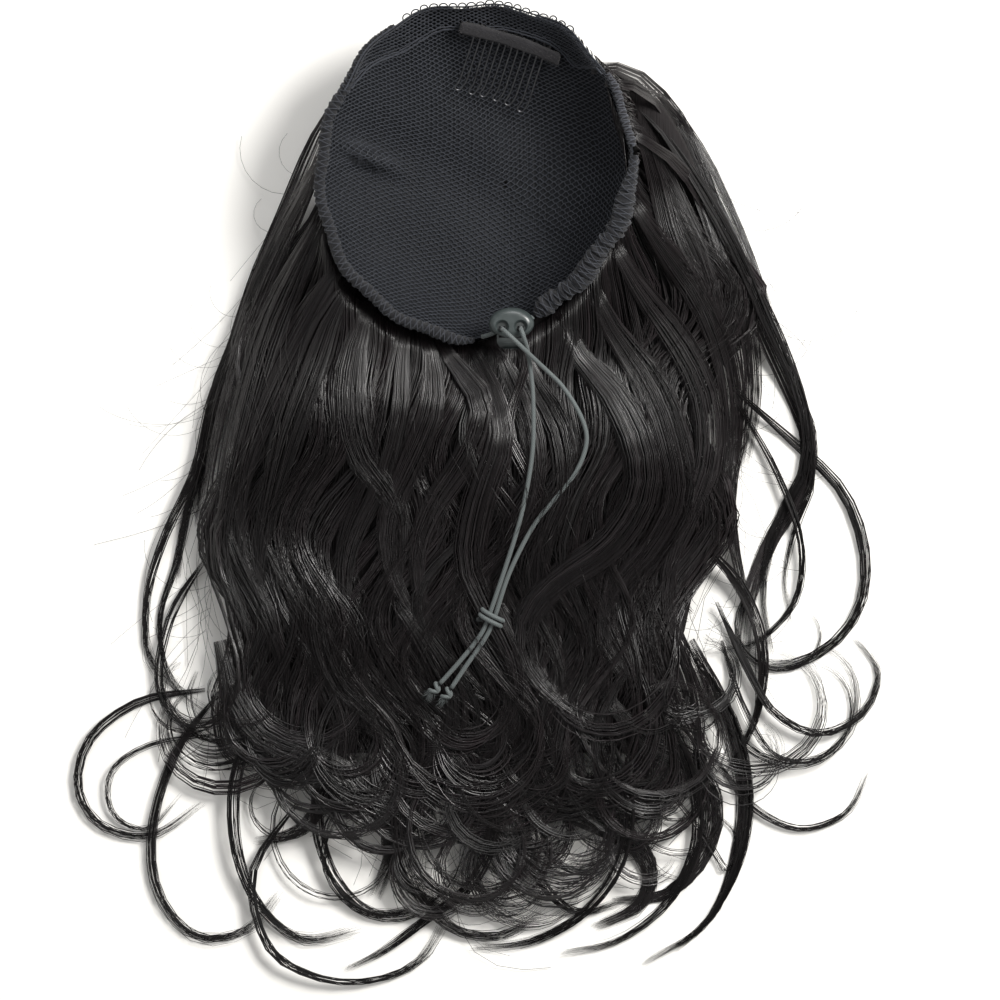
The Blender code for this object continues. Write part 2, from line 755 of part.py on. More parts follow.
def wire_route():
    """The comb's wire: down one leg, round the tooth's tip, up the other and on to the next tooth."""
    top = COMB_WIDTH / 2 - WIRE_GROOVE_DEPTH + WIRE_RADIUS + SEAT_GAP
    tip = COMB_WIDTH / 2 + TOOTH_REACH
    kink_from = tip - 6 * MM
    route = []
    for tooth in range(TOOTH_COUNT):
        middle = (tooth - (TOOTH_COUNT - 1) / 2) * TOOTH_PITCH
        left = middle - TOOTH_GAP / 2
        right = middle + TOOTH_GAP / 2
        places = (
            (left - 0.1 * TOOTH_GAP, top),
            (left, top + 1.4 * MM),
            (left, kink_from),
            (left - TOOTH_KINK, tip - 1.2 * MM),
            (middle - TOOTH_KINK, tip),
            (right - TOOTH_KINK, tip - 1.2 * MM),
            (right, kink_from),
            (right, top + 1.4 * MM),
            (right + 0.1 * TOOTH_GAP, top),
        )
        route += [comb_point(across, out) for across, out in places]
    return route


def toggle_place(x, y, z):
    """A place on the toggle, from its middle."""
    return Vector((TOGGLE_X + x, TOGGLE_Y + y, TOGGLE_Z + z))


def add_box(name, low, high, collection):
    """A box between two corners."""
    mesh = bpy.data.meshes.new(name)
    shape = bmesh.new()
    bmesh.ops.create_cube(shape, size=1)
    for vert in shape.verts:
        vert.co = Vector(low[k] + (vert.co[k] + 0.5) * (high[k] - low[k]) for k in range(3))
    shape.to_mesh(mesh)
    shape.free()
    return add_object(name, mesh, collection)


def add_column(name, centre, radius, height, sides, collection):
    """An upright cylinder."""
    def fill(shape):
        """The cylinder at its place."""
        bmesh.ops.create_cone(
            shape, cap_ends=True, segments=sides, radius1=radius, radius2=radius, depth=height
        )
        bmesh.ops.translate(shape, verts=shape.verts, vec=centre)

    return add_object(name, mesh_from(name, fill), collection)


def add_bevel(target, width, segments):
    """Rounds an object's edges."""
    modifier = target.modifiers.new("round", "BEVEL")
    modifier.width = width
    modifier.segments = segments
    modifier.limit_method = "ANGLE"
    modifier.angle_limit = BEVEL_ANGLE
    return modifier


def build_toggle_body(parts):
    """The oval cord lock: a rounded oval block with a pocket and two holes through it."""
    def fill(shape):
        """The oval block before its edges are rounded."""
        bmesh.ops.create_cone(
            shape, cap_ends=True, segments=TOGGLE_SIDES, radius1=0.5, radius2=0.5, depth=1
        )
        size = Vector((TOGGLE_WIDTH, TOGGLE_LENGTH, TOGGLE_THICKNESS))
        bmesh.ops.scale(shape, vec=size, verts=shape.verts)
        bmesh.ops.translate(shape, verts=shape.verts, vec=toggle_place(0, 0, 0))

    material = make_material("toggle_plastic", (0.060, 0.078, 0.078), 0.38)
    body = add_object("toggle_body", mesh_from("toggle_body", fill), parts, material)
    add_bevel(body, TOGGLE_ROUND, 2)
    cutters = make_collection("toggle_cutters")
    half_pocket = PLUNGER_WIDTH / 2 + SEAT_GAP
    half_height = PLUNGER_THICKNESS / 2 + SEAT_GAP
    pocket = add_box(
        "toggle_pocket",
        toggle_place(-half_pocket, -TOGGLE_LENGTH, -half_height),
        toggle_place(half_pocket, TOGGLE_LENGTH / 2 - POCKET_WALL, half_height),
        cutters,
    )
    as_tool(pocket)
    for side in (-1, 1):
        centre = toggle_place(side * HOLE_SPACING / 2, HOLE_SHIFT_Y, 0)
        hole = add_column(
            f"toggle_hole_{side}", centre, HOLE_RADIUS, 2 * TOGGLE_THICKNESS, HOLE_SIDES, cutters
        )
        as_tool(hole)
    add_boolean(body, "pocket_and_holes", "DIFFERENCE", cutters)
    return body


def cord_rest_y():
    """Where the plunger pinches the cords: the near edge of the toggle's holes."""
    return HOLE_SHIFT_Y - (HOLE_RADIUS - CORD_RADIUS - SEAT_GAP)


def build_toggle_plunger(parts):
    """The spring button: a tongue in the pocket, with a slot for each cord and its travel."""
    inner = TOGGLE_LENGTH / 2 - POCKET_WALL - SEAT_GAP - PLUNGER_TRAVEL
    outer = -TOGGLE_LENGTH / 2 - PLUNGER_REACH
    tongue = add_box(
        "toggle_plunger",
        (-PLUNGER_WIDTH / 2, outer, -PLUNGER_THICKNESS / 2),
        (PLUNGER_WIDTH / 2, inner, PLUNGER_THICKNESS / 2),
        parts,
    )
    tongue.data.materials.append(make_material("plunger_plastic", (0.045, 0.058, 0.058), 0.42))
    tongue.location = toggle_place(0, 0, 0)
    round_plunger(tongue.data, outer)
    cutters = make_collection("plunger_cutters")
    far = cord_rest_y() + CORD_RADIUS + SEAT_GAP
    near = cord_rest_y() - CORD_RADIUS - SEAT_GAP - PLUNGER_TRAVEL
    half = CORD_RADIUS + 1.5 * SEAT_GAP
    for side in (-1, 1):
        middle = side * HOLE_SPACING / 2
        slot = add_box(
            f"plunger_slot_{side}",
            toggle_place(middle - half, near, -PLUNGER_THICKNESS),
            toggle_place(middle + half, far, PLUNGER_THICKNESS),
            cutters,
        )
        as_tool(slot)
    add_boolean(tongue, "slots", "DIFFERENCE", cutters)
    return tongue


def round_plunger(mesh, outer):
    """Rounds the two outer upright edges of the button."""
    shape = bmesh.new()
    shape.from_mesh(mesh)
    edges = [
        edge
        for edge in shape.edges
        if abs(edge.verts[0].co.y - outer) < WELD_DISTANCE
        and abs(edge.verts[1].co.y - outer) < WELD_DISTANCE
        and abs(edge.verts[0].co.x - edge.verts[1].co.x) < WELD_DISTANCE
    ]
    bmesh.ops.bevel(shape, geom=edges, offset=PLUNGER_ROUND, segments=4, profile=0.5, affect="EDGES")
    shape.to_mesh(mesh)
    shape.free()


def build_cords(parts):
    """The two elastic cords, the wrap that ties them and the knots at their ends."""
    material = make_material("elastic", (0.075, 0.082, 0.082), 0.7)
    for name, route in (("front", CORD_FRONT_ROUTE), ("back", CORD_BACK_ROUTE)):
        points = [Vector(point) * MM for point in route]
        path = smooth_path(points, CORD_STEP)
        add_tube(f"cord_{name}", path, CORD_RADIUS, 2, parts, material)
        onwards = (path[-1] - path[-2]).normalized()
        centre = path[-1] + onwards * (END_KNOT_LENGTH / 2 + SEAT_GAP)
        add_end_knot(f"end_knot_{name}", centre, onwards, parts, material)
    add_tube("cord_knot", knot_route(), CORD_RADIUS, 1, parts, material)


def knot_route():
    """Two turns of cord round both strands, slanting down as they go."""
    middle = Vector(KNOT_AT) * MM
    onwards = Vector(CORD_FRONT_ROUTE[21]) - Vector(CORD_FRONT_ROUTE[18])
    onwards.normalize()
    side = onwards.cross(Vector((0, 0, 1))).normalized()
    rise = side.cross(onwards)
    half_height = 2 * CORD_RADIUS + 2 * SEAT_GAP
    count = KNOT_TURNS * KNOT_POINTS_PER_TURN
    route = []
    for i in range(count + 1):
        angle = TURN * i / KNOT_POINTS_PER_TURN
        shift = KNOT_PITCH * KNOT_TURNS * (i / count - 0.5)
        route.append(
            middle
            + onwards * shift
            + side * KNOT_HALF_WIDTH * math.cos(angle)
            + rise * half_height * math.sin(angle)
        )
    return route


def add_end_knot(name, centre, onwards, collection, material):
    """A small tied lump at a cord's end."""
    side = onwards.cross(Vector((0, 0, 1))).normalized()
    rise = side.cross(onwards)

    def fill(shape):
        """A ball, drawn out along the cord and ridged like a tied knot."""
        bmesh.ops.create_uvsphere(shape, u_segments=8, v_segments=6, radius=1)
        for vert in shape.verts:
            ridge = 1 + 0.16 * math.cos(2 * math.atan2(vert.co.y, vert.co.x) + 3 * vert.co.z)
            vert.co = (
                centre
                + onwards * vert.co.z * END_KNOT_LENGTH / 2
                + side * vert.co.x * END_KNOT_RADIUS * ridge
                + rise * vert.co.y * END_KNOT_RADIUS * ridge
            )

    return add_object(name, mesh_from(name, fill), collection, material)


def mane_point(row, column, columns):
    """One point of the mane's top, in the row and column of its grid."""
    first = MANE_ROWS[0][0]
    down = row / MANE_STEPS
    along = first + (MANE_ROWS[-1][0] - first) * down
    left = mane_value("left", along) * HAIR_WIDTH / 2
    right = mane_value("right", along) * HAIR_WIDTH / 2
    share = column / columns
    inside = 4 * share * (1 - share)
    y = HAIR_TOP_Y - along * HAIR_LENGTH
    sway = WAVE_SWAY * inside * math.sin(TURN * (y / WAVE_LENGTH + WAVE_LAG * share))
    height = mane_value("height", along) * HAIR_HEIGHT * mound(share)
    height += RIDGE_SWELL * inside * math.sin(TURN * (y / WAVE_LENGTH + RIDGE_DRIFT * column))
    if column % 2 == 0:
        height -= RIDGE_DEPTH * inside
    else:
        y -= FRINGE_DEPTH * down ** FRINGE_RISE
    return Vector((left + (right - left) * share + sway, y, max(height, EDGE_HEIGHT)))


def build_mane(tools):
    """The dense hair: a ridged mound whose columns sway with the hair's waves."""
    columns = 2 * RIDGE_COUNT

    def fill(shape):
        """The top, the low walls round it and the flat underside."""
        grid = [
            [shape.verts.new(mane_point(row, column, columns)) for column in range(columns + 1)]
            for row in range(MANE_STEPS + 1)
        ]
        bridge_rings(shape, grid, closed_ring=False)
        border = (
            grid[0]
            + [row[-1] for row in grid[1:]]
            + grid[-1][-2::-1]
            + [row[0] for row in grid[-2:0:-1]]
        )
        below = [shape.verts.new((vert.co.x, vert.co.y, -HAIR_SINK)) for vert in border]
        bridge_rings(shape, [border, below])
        shape.faces.new(below)

    return as_tool(add_object("whole_hair", mesh_from("whole_hair", fill), tools))


def crown_sections(drop, shares):
    """Rings of points round the bowl, grown outwards by the hair's cover."""
    sections = []
    for share in shares:
        ring = []
        for i in range(CROWN_TURN_STEPS):
            degrees = 360 * i / CROWN_TURN_STEPS
            grow = NET_WALL + CROWN_THICKNESS * around_rim("cover", degrees)
            ring.append(bowl_point(degrees, share, grow, drop))
        sections.append(ring)
    return sections


def lock_taper(share):
    """A lock's width from its root to its tip, as a share of its full width."""
    if share < LOCK_SWELL_AT:
        return LOCK_ROOT_SHARE + (1 - LOCK_ROOT_SHARE) * share / LOCK_SWELL_AT
    return 1 - (1 - LOCK_TIP_SHARE) * (share - LOCK_SWELL_AT) / (1 - LOCK_SWELL_AT)


def lock_path(route, half_width):
    """The middle line of a lock, laid over the mane and down to the surface."""
    plan = [(across * HAIR_WIDTH / 2, HAIR_TOP_Y - along * HAIR_LENGTH, 0) for across, along in route]
    points = smooth_path(plan, LOCK_STEP)
    last = len(points) - 1
    for i, point in enumerate(points):
        thickness = half_width * lock_taper(i / last) * LOCK_FLATNESS
        point.z = max(thickness - LOCK_SINK, mane_height(point.x, point.y) - LOCK_SETTLE * thickness)
    for _ in range(2):
        heights = [point.z for point in points]
        for i in range(1, last):
            points[i].z = sum(heights[i - 1:i + 2]) / 3
    return points


def add_lock(name, route, half_width, collection):
    """One tapered lock with an oval section."""
    points = lock_path(route, half_width)
    last = len(points) - 1
    sections = []
    for i, point in enumerate(points):
        ahead = points[min(i + 1, last)] - points[max(i - 1, 0)]
        side = ahead.cross(Vector((0, 0, 1))).normalized()
        size = half_width * lock_taper(i / last)
        sections.append([
            point
            + side * size * math.cos(TURN * k / LOCK_SIDES)
            + Vector((0, 0, size * LOCK_FLATNESS * math.sin(TURN * k / LOCK_SIDES)))
            for k in range(LOCK_SIDES)
        ])
    mesh = mesh_from(name, lambda shape: loft_tube(shape, sections))
    return as_tool(add_object(name, mesh, collection))


def build_hair(parts, tools, rim_cutters):
    """The mane, the crown round the cap and the locks, fused, with the cap's seat cut out."""
    hair = build_mane(tools)
    growth = make_collection("locks")
    crown_rings = crown_sections(CROWN_DROP, CROWN_RING_SHARES)
    crown_mesh = mesh_from("crown", lambda shape: loft_tube(shape, crown_rings))
    as_tool(add_object("crown", crown_mesh, growth))
    for name, width, route in LOCK_ROWS:
        add_lock("lock_" + name, route, LOCK_WIDTH * width / 2, growth)
    add_boolean(hair, "locks", "UNION", growth)

    clear = make_collection("hair_cutters")
    add_cap_cutter(clear)
    reach = HAIR_LENGTH
    floor = add_box("under_floor", (-reach, -reach, -reach), (reach, reach, 0), clear)
    as_tool(floor)
    for cutter in rim_cutters:
        clear.objects.link(cutter)
    add_boolean(hair, "cap_and_floor", "DIFFERENCE", clear)
    bpy.context.view_layer.update()
    fill_pockets(hair)

    material = make_material("hair", (0.012, 0.010, 0.011), 0.45)
    spans = (
        ("hair_crown", CROWN_END_Y + SEAT_GAP / 2, reach),
        ("hair_lengths", -reach, CROWN_END_Y - SEAT_GAP / 2),
    )
    for name, low, high in spans:
        piece = add_object(name, hair.data.copy(), parts, material)
        slab = add_box(name + "_span", (-reach, low, -reach), (reach, high, reach), tools)
        add_boolean(piece, "span", "INTERSECT", as_tool(slab))
        bpy.context.view_layer.update()
        fill_pockets(piece)


def island_of(start, seen):
    """The connected faces round one face."""
    island = []
    waiting = [start]
    seen.add(start)
    while waiting:
        face = waiting.pop()
        island.append(face)
        for edge in face.edges:
            others = [other for other in edge.link_faces if other not in seen]
            if len(edge.link_faces) == 2:
                seen.update(others)
                waiting += others
    return island


def signed_volume(faces):
    """The volume inside some faces, below zero where they bound a pocket."""
    total = 0.0
    for face in faces:
        first = face.verts[0].co
        for second, third in zip(face.verts[1:], face.verts[2:]):
            total += first.dot(second.co.cross(third.co)) / 6
    return total


def fill_pockets(target):
    """Fixes an object's shape, without the pockets and flat flaps left between fused locks."""
    graph = bpy.context.evaluated_depsgraph_get()
    mesh = bpy.data.meshes.new_from_object(target.evaluated_get(graph))
    target.modifiers.clear()
    target.data = mesh
    shape = bmesh.new()
    shape.from_mesh(mesh)
    bmesh.ops.triangulate(shape, faces=shape.faces)
    seen = set()
    for face in list(shape.faces):
        if face.is_valid and face not in seen:
            island = island_of(face, seen)
            if signed_volume(island) < SMALLEST_PIECE:
                bmesh.ops.delete(shape, geom=island, context="FACES")
    shape.to_mesh(mesh)
    shape.free()


def add_cap_cutter(collection):
    """The room that the net cap takes in the hair, open upwards."""
    grow = NET_WALL + 1.5 * SEAT_GAP

    def fill(shape):
        """The grown bowl, with its rim carried straight up."""
        rings = []
        for share in BOWL_RING_SHARES:
            rings.append([
                shape.verts.new(bowl_point(360 * i / BOWL_TURN_STEPS, share, grow))
                for i in range(BOWL_TURN_STEPS)
            ])
        rings.append([
            shape.verts.new((vert.co.x, vert.co.y, 2 * RIM_TOP)) for vert in rings[-1]
        ])
        bridge_rings(shape, rings)
        pole = shape.verts.new(bowl_point(0, 0, grow))
        for i in range(BOWL_TURN_STEPS):
            shape.faces.new((pole, rings[0][i], rings[0][(i + 1) % BOWL_TURN_STEPS]))
        shape.faces.new(rings[-1])

    return as_tool(add_object("cap_room", mesh_from("cap_room", fill), collection))


def build_rim(parts, tools):
    """The two casings and the weft strip on the rim, and their cutters for the net."""
    material = make_material("casing_cloth", (0.030, 0.031, 0.036), 0.85)
    spans = (
        ("rim_casing_left", LEFT_CASING_FROM, LEFT_CASING_TO, LEFT_CASING_RADIUS, LEFT_CASING_GATHERS),
        ("rim_casing_right", RIGHT_CASING_FROM, RIGHT_CASING_TO, RIGHT_CASING_RADIUS,
         RIGHT_CASING_GATHERS),
        ("weft_strip", WEFT_FROM, WEFT_TO, WEFT_RADIUS, WEFT_STITCHES),
    )
    cutters = []
    for name, start, end, radius, gathers in spans:
        add_rim_tube(name, start, end, radius, gathers, parts, material)
        cutter = add_rim_tube(
            name + "_room", start - ROOM_MARGIN, end + ROOM_MARGIN, radius, gathers, tools,
            grow=2 * SEAT_GAP,
        )
        cutters.append(as_tool(cutter))
    return cutters


def build():
    """Makes the whole hairpiece in an empty scene."""
    for old in list(bpy.data.objects):
        bpy.data.objects.remove(old, do_unlink=True)
    parts = make_collection("ponytail_hairpiece")
    tools = make_collection("cutters")
    rim_cutters = build_rim(parts, tools)
    build_net_cap(parts, rim_cutters)
    build_hem_band(parts)
    build_comb(parts, tools)
    build_toggle_body(parts)
    build_toggle_plunger(parts)
    build_cords(parts)
    build_hair(parts, tools, rim_cutters)
    bpy.context.view_layer.update()


build()
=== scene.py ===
"""Drawstring ponytail hairpiece lying on its hair: the looks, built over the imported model.

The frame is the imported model's own: metres, +Z up, +Y from the hair's tips to the comb end of the cap,
+X to the right as seen from above, and the hair rests on z = 0.
"""

import logging
import math
from dataclasses import dataclass
from enum import Enum
from functools import cached_property
from typing import Callable, Optional, Sequence

import bpy
import numpy as np
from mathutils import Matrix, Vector


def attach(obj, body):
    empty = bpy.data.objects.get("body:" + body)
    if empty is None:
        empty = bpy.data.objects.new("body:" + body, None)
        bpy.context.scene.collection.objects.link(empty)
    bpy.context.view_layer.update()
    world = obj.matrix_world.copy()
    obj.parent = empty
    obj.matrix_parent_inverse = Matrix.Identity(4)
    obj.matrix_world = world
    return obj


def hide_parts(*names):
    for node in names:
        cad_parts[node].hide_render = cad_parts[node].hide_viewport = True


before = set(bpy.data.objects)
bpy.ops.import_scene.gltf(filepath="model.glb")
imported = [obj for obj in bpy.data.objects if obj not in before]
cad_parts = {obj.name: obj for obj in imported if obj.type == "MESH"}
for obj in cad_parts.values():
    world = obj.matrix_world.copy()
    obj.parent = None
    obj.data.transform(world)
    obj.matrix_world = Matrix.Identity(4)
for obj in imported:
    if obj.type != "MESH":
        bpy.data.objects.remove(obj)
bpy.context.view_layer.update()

LOG = logging.getLogger("ponytail")
MM = 0.001
TURN = 2 * math.pi
ROOT = "hairpiece"
PLUNGER = "plunger"

# The photograph is seen straight down, 0.43 mm to a pixel, with this pixel over the frame's origin.
PIXEL = 0.43 * MM
ORIGIN_PX = (478.0, 497.0)
SPLINE_STEPS = 14

# How much of a rim band's radius is cloth; the threads wound round it make up the rest.
CLOTH_SHARE = 0.93


def from_pixels(points: Sequence[Sequence[float]]) -> np.ndarray:
    """Turns places in the photograph into places on the table.

    Args:
        points: rows of x and y in pixels.

    Returns:
        Rows of x and y in metres.
    """
    rows = np.asarray(points, float)
    return np.stack([(rows[..., 0] - ORIGIN_PX[0]) * PIXEL, (ORIGIN_PX[1] - rows[..., 1]) * PIXEL], -1)


def smoothstep(value: np.ndarray) -> np.ndarray:
    """Eases from 0 to 1 as the value goes from 0 to 1."""
    held = np.clip(value, 0.0, 1.0)
    return held * held * (3 - 2 * held)


def unit(vectors: np.ndarray) -> np.ndarray:
    """Scales vectors to a length of one."""
    return vectors / np.linalg.norm(vectors, axis=-1, keepdims=True)


def section_axes(ahead: np.ndarray) -> tuple:
    """The level side vector and the rise vector of a section across a line."""
    side = unit(np.cross(ahead, (0, 0, 1.0)))
    return side, np.cross(side, ahead)


def hermite(share: np.ndarray, before, start, end, after) -> np.ndarray:
    """Blends from start to end, with slopes that their neighbours give.

    Args:
        share: how far on from start, 0 to 1.
        before: the value ahead of start.
        start: the value at 0.
        end: the value at 1.
        after: the value past end.

    Returns:
        The blended values.
    """
    slope_a, slope_b = (end - before) / 2, (after - start) / 2
    return (
        (2 * share**3 - 3 * share**2 + 1) * start
        + (share**3 - 2 * share**2 + share) * slope_a
        + (3 * share**2 - 2 * share**3) * end
        + (share**3 - share**2) * slope_b
    )


def catmull(points: np.ndarray, count: int) -> np.ndarray:
    """Reads a smooth curve through given points at even steps.

    Args:
        points: the curve's own points, any number of columns.
        count: how many points to return.

    Returns:
        The points along the curve, count rows.
    """
    rows = np.asarray(points, float)
    ends = np.concatenate([rows[:1], rows, rows[-1:]])
    share = np.linspace(0, 1, SPLINE_STEPS, endpoint=False)[:, None]
    dense = [hermite(share, *ends[i : i + 4]) for i in range(len(rows) - 1)]
    return resample(np.concatenate(dense + [rows[-1:]]), count)


def resample(line: np.ndarray, count: int) -> np.ndarray:
    """Spaces a polyline's points evenly along its length."""
    lengths = np.concatenate([[0], np.cumsum(np.linalg.norm(np.diff(line, axis=0), axis=1))])
    at = np.linspace(0, lengths[-1], count)
    return np.stack([np.interp(at, lengths, line[:, k]) for k in range(line.shape[1])], -1)


def linear(colour: str) -> tuple:
    """Turns an sRGB hex value into linear red, green, blue and alpha."""
    parts = [int(colour[i : i + 2], 16) / 255 for i in (0, 2, 4)]
    return tuple(c / 12.92 if c <= 0.04045 else ((c + 0.055) / 1.055) ** 2.4 for c in parts) + (1.0,)


def add_node(
    tree: bpy.types.NodeTree, kind: str, values: Optional[dict] = None, links: Optional[dict] = None,
    **settings
) -> bpy.types.Node:
    """Adds one node with its settings, its sockets' values and its links.

    Args:
        tree: the material's tree.
        kind: the node's type name.
        values: socket name or number to its value.
        links: socket name or number to the output socket that feeds it.
        settings: the node's own properties.

    Returns:
        The new node.
    """
    node = tree.nodes.new(kind)
    for name, value in settings.items():
        setattr(node, name, value)
    for name, value in (values or {}).items():
        node.inputs[name].default_value = value
    for name, source in (links or {}).items():
        tree.links.new(source, node.inputs[name])
    return node


def add_noise(tree: bpy.types.NodeTree, place, detail: float, scale: float = 1.0, roughness: float = 0.5):
    """Adds a noise pattern and gives its factor."""
    values = {"Scale": scale, "Detail": detail, "Roughness": roughness}
    return add_node(tree, "ShaderNodeTexNoise", values, {"Vector": place}).outputs["Fac"]


def add_math(tree: bpy.types.NodeTree, operation: str, *terms):
    """Adds one sum or wave over sockets and plain numbers, and gives its result."""
    links = {i: term for i, term in enumerate(terms) if not isinstance(term, float)}
    values = {i: term for i, term in enumerate(terms) if isinstance(term, float)}
    return add_node(tree, "ShaderNodeMath", values, links, operation=operation).outputs[0]


def link_tint(tree: bpy.types.NodeTree, shader: bpy.types.Node, factor, dark: str, light: str) -> None:
    """Mixes two hex colours by a factor into the base colour."""
    tint = add_node(tree, "ShaderNodeMix", None, {0: factor}, data_type="RGBA")
    tint.inputs[6].default_value = linear(dark)
    tint.inputs[7].default_value = linear(light)
    tree.links.new(tint.outputs[2], shader.inputs["Base Color"])


def link_bump(
    tree: bpy.types.NodeTree, shader: bpy.types.Node, height, strength: float, distance: float
) -> None:
    """Turns a pattern into relief; the distance is in metres."""
    bump = add_node(tree, "ShaderNodeBump", {"Strength": strength, "Distance": distance}, {"Height": height})
    tree.links.new(bump.outputs["Normal"], shader.inputs["Normal"])


def link_roughness(tree: bpy.types.NodeTree, shader: bpy.types.Node, factor, low: float, high: float) -> None:
    """Varies the roughness by a factor."""
    rough = add_node(tree, "ShaderNodeMapRange", {"To Min": low, "To Max": high}, {"Value": factor})
    tree.links.new(rough.outputs[0], shader.inputs["Roughness"])


def set_inputs(shader: bpy.types.Node, values: dict) -> None:
    """Sets the shader's plain values by their sockets' names."""
    for name, value in values.items():
        shader.inputs[name].default_value = value


def new_material(name: str) -> tuple:
    """Makes an empty material.

    Returns:
        The material, its tree and its Principled shader.
    """
    material = bpy.data.materials.new(name)
    material.use_nodes = True
    shader = material.node_tree.nodes["Principled BSDF"]
    return material, material.node_tree, shader


class Mapping(Enum):
    """What a pattern follows."""

    OBJECT = "Object"
    UV = "UV"


def coordinates(tree: bpy.types.NodeTree, mapping: Mapping, scale: tuple):
    """Gives a pattern's coordinates.

    Args:
        tree: the material's tree.
        mapping: what the pattern follows.
        scale: repeats for each metre, or for each unit of UV.

    Returns:
        The output socket.
    """
    source = add_node(tree, "ShaderNodeTexCoord").outputs[mapping.value]
    return add_node(tree, "ShaderNodeMapping", {"Scale": scale}, {"Vector": source}).outputs["Vector"]


@dataclass(frozen=True)
class SpunThread:
    """Polyester thread, spun and knotted into net: matt, with a little fuzz and uneven dye."""

    name: str = "spun polyester thread"
    dark: str = "202227"
    light: str = "3f434c"
    grain: float = 0.9 * MM
    roughness: float = 0.78

    def make(self) -> bpy.types.Material:
        """Builds the finish: the eye sees soft grey threads, lighter where they turn up."""
        material, tree, shader = new_material(self.name)
        place = coordinates(tree, Mapping.OBJECT, (1 / self.grain,) * 3)
        noise = add_noise(tree, place, 3.0, roughness=0.6)
        link_tint(tree, shader, noise, self.dark, self.light)
        link_bump(tree, shader, noise, 0.35, 0.2 * MM)
        sheen = {"Sheen Weight": 0.12, "Sheen Roughness": 0.5}
        set_inputs(shader, {"Roughness": self.roughness, "Specular IOR Level": 0.3, **sheen})
        return material


@dataclass(frozen=True)
class WovenTape:
    """Cotton tape or doubled net cloth: a plain weave that follows the piece's own UV, with fuzz."""

    name: str = "woven tape"
    dark: str = "141417"
    light: str = "28282d"
    thread: float = 0.7 * MM
    roughness: float = 0.9
    strength: float = 0.8

    def make(self) -> bpy.types.Material:
        """Builds the finish: a small over and under weave with thread by thread colour."""
        material, tree, shader = new_material(self.name)
        place = coordinates(tree, Mapping.UV, (1 / self.thread, 1 / self.thread, 1.0))
        values = {"Scale": 0.5, "Distortion": 0.6, "Detail": 1.0, "Detail Scale": 2.0}
        waves = [
            add_node(
                tree, "ShaderNodeTexWave", values, {"Vector": place}, bands_direction=axis
            ).outputs["Fac"]
            for axis in ("X", "Y")
        ]
        grain = add_noise(tree, place, 4.0, scale=0.6)
        height = add_math(tree, "ADD", add_math(tree, "MULTIPLY", *waves), grain)
        link_tint(tree, shader, grain, self.dark, self.light)
        link_bump(tree, shader, height, self.strength, 0.3 * MM)
        set_inputs(shader, {"Roughness": self.roughness, "Sheen Weight": 0.1, "Specular IOR Level": 0.25})
        return material


@dataclass(frozen=True)
class BraidedElastic:
    """Round elastic cord: a grey polyester braid over rubber, drawn at 1.1 mm a plait so that it shows."""

    name: str = "braided elastic"
    # dark is painted shade for the grooves between the plaits; light is the plaits' crests.
    dark: str = "272b2c"
    light: str = "565d5d"
    plait: float = 1.1 * MM
    around: float = 6.0

    def make(self) -> bpy.types.Material:
        """Builds the finish: two sets of slanting plaits that cross along the cord, with painted shade
        darkening the grooves between them.
        """
        material, tree, shader = new_material(self.name)
        source = add_node(tree, "ShaderNodeTexCoord")
        split = add_node(tree, "ShaderNodeSeparateXYZ", None, {0: source.outputs["UV"]})
        turns = add_math(tree, "MULTIPLY", split.outputs[0], self.around * TURN / 2)
        runs = add_math(tree, "MULTIPLY", split.outputs[1], TURN / self.plait / 2)
        ridges = []
        for crossing in ("ADD", "SUBTRACT"):
            wave = add_math(tree, "SINE", add_math(tree, crossing, turns, runs))
            ridges.append(add_math(tree, "ABSOLUTE", wave))
        braid = add_math(tree, "MAXIMUM", *ridges)
        # The colour follows the plaits' relief: painted shade in the grooves, the crests lighter.
        link_tint(tree, shader, braid, self.dark, self.light)
        link_bump(tree, shader, braid, 0.6, 0.25 * MM)
        set_inputs(shader, {"Roughness": 0.6, "Sheen Weight": 0.2})
        return material


@dataclass(frozen=True)
class MouldedPlastic:
    """Satin injection-moulded acetal: grey-green, with a fine mould texture and worn, paler edges."""

    name: str = "satin moulded acetal"
    base: str = "2c3232"
    worn: str = "3c4343"
    grain: float = 0.35 * MM
    roughness: float = 0.3

    def make(self) -> bpy.types.Material:
        """Builds the finish: a soft highlight broken by the mould's grain."""
        material, tree, shader = new_material(self.name)
        place = coordinates(tree, Mapping.OBJECT, (1 / self.grain,) * 3)
        broad = add_noise(tree, place, 3.0, scale=0.12)
        link_tint(tree, shader, broad, self.base, self.worn)
        link_roughness(tree, shader, broad, self.roughness - 0.05, self.roughness + 0.1)
        link_bump(tree, shader, add_noise(tree, place, 2.0), 0.12, 0.1 * MM)
        return material


@dataclass(frozen=True)
class LacqueredWire:
    """Spring steel wire under a thin dark lacquer: a narrow bright glint along each leg."""

    name: str = "lacquered spring wire"
    base: str = "98989b"
    dark: str = "38383c"
    flake: float = MM / 0.7

    def make(self) -> bpy.types.Material:
        """Builds the finish: uneven lacquer, so the glint breaks up."""
        material, tree, shader = new_material(self.name)
        place = coordinates(tree, Mapping.OBJECT, (1 / self.flake,) * 3)
        noise = add_noise(tree, place, 2.0)
        link_tint(tree, shader, noise, self.dark, self.base)
        link_roughness(tree, shader, noise, 0.22, 0.42)
        set_inputs(shader, {"Metallic": 1.0})
        return material


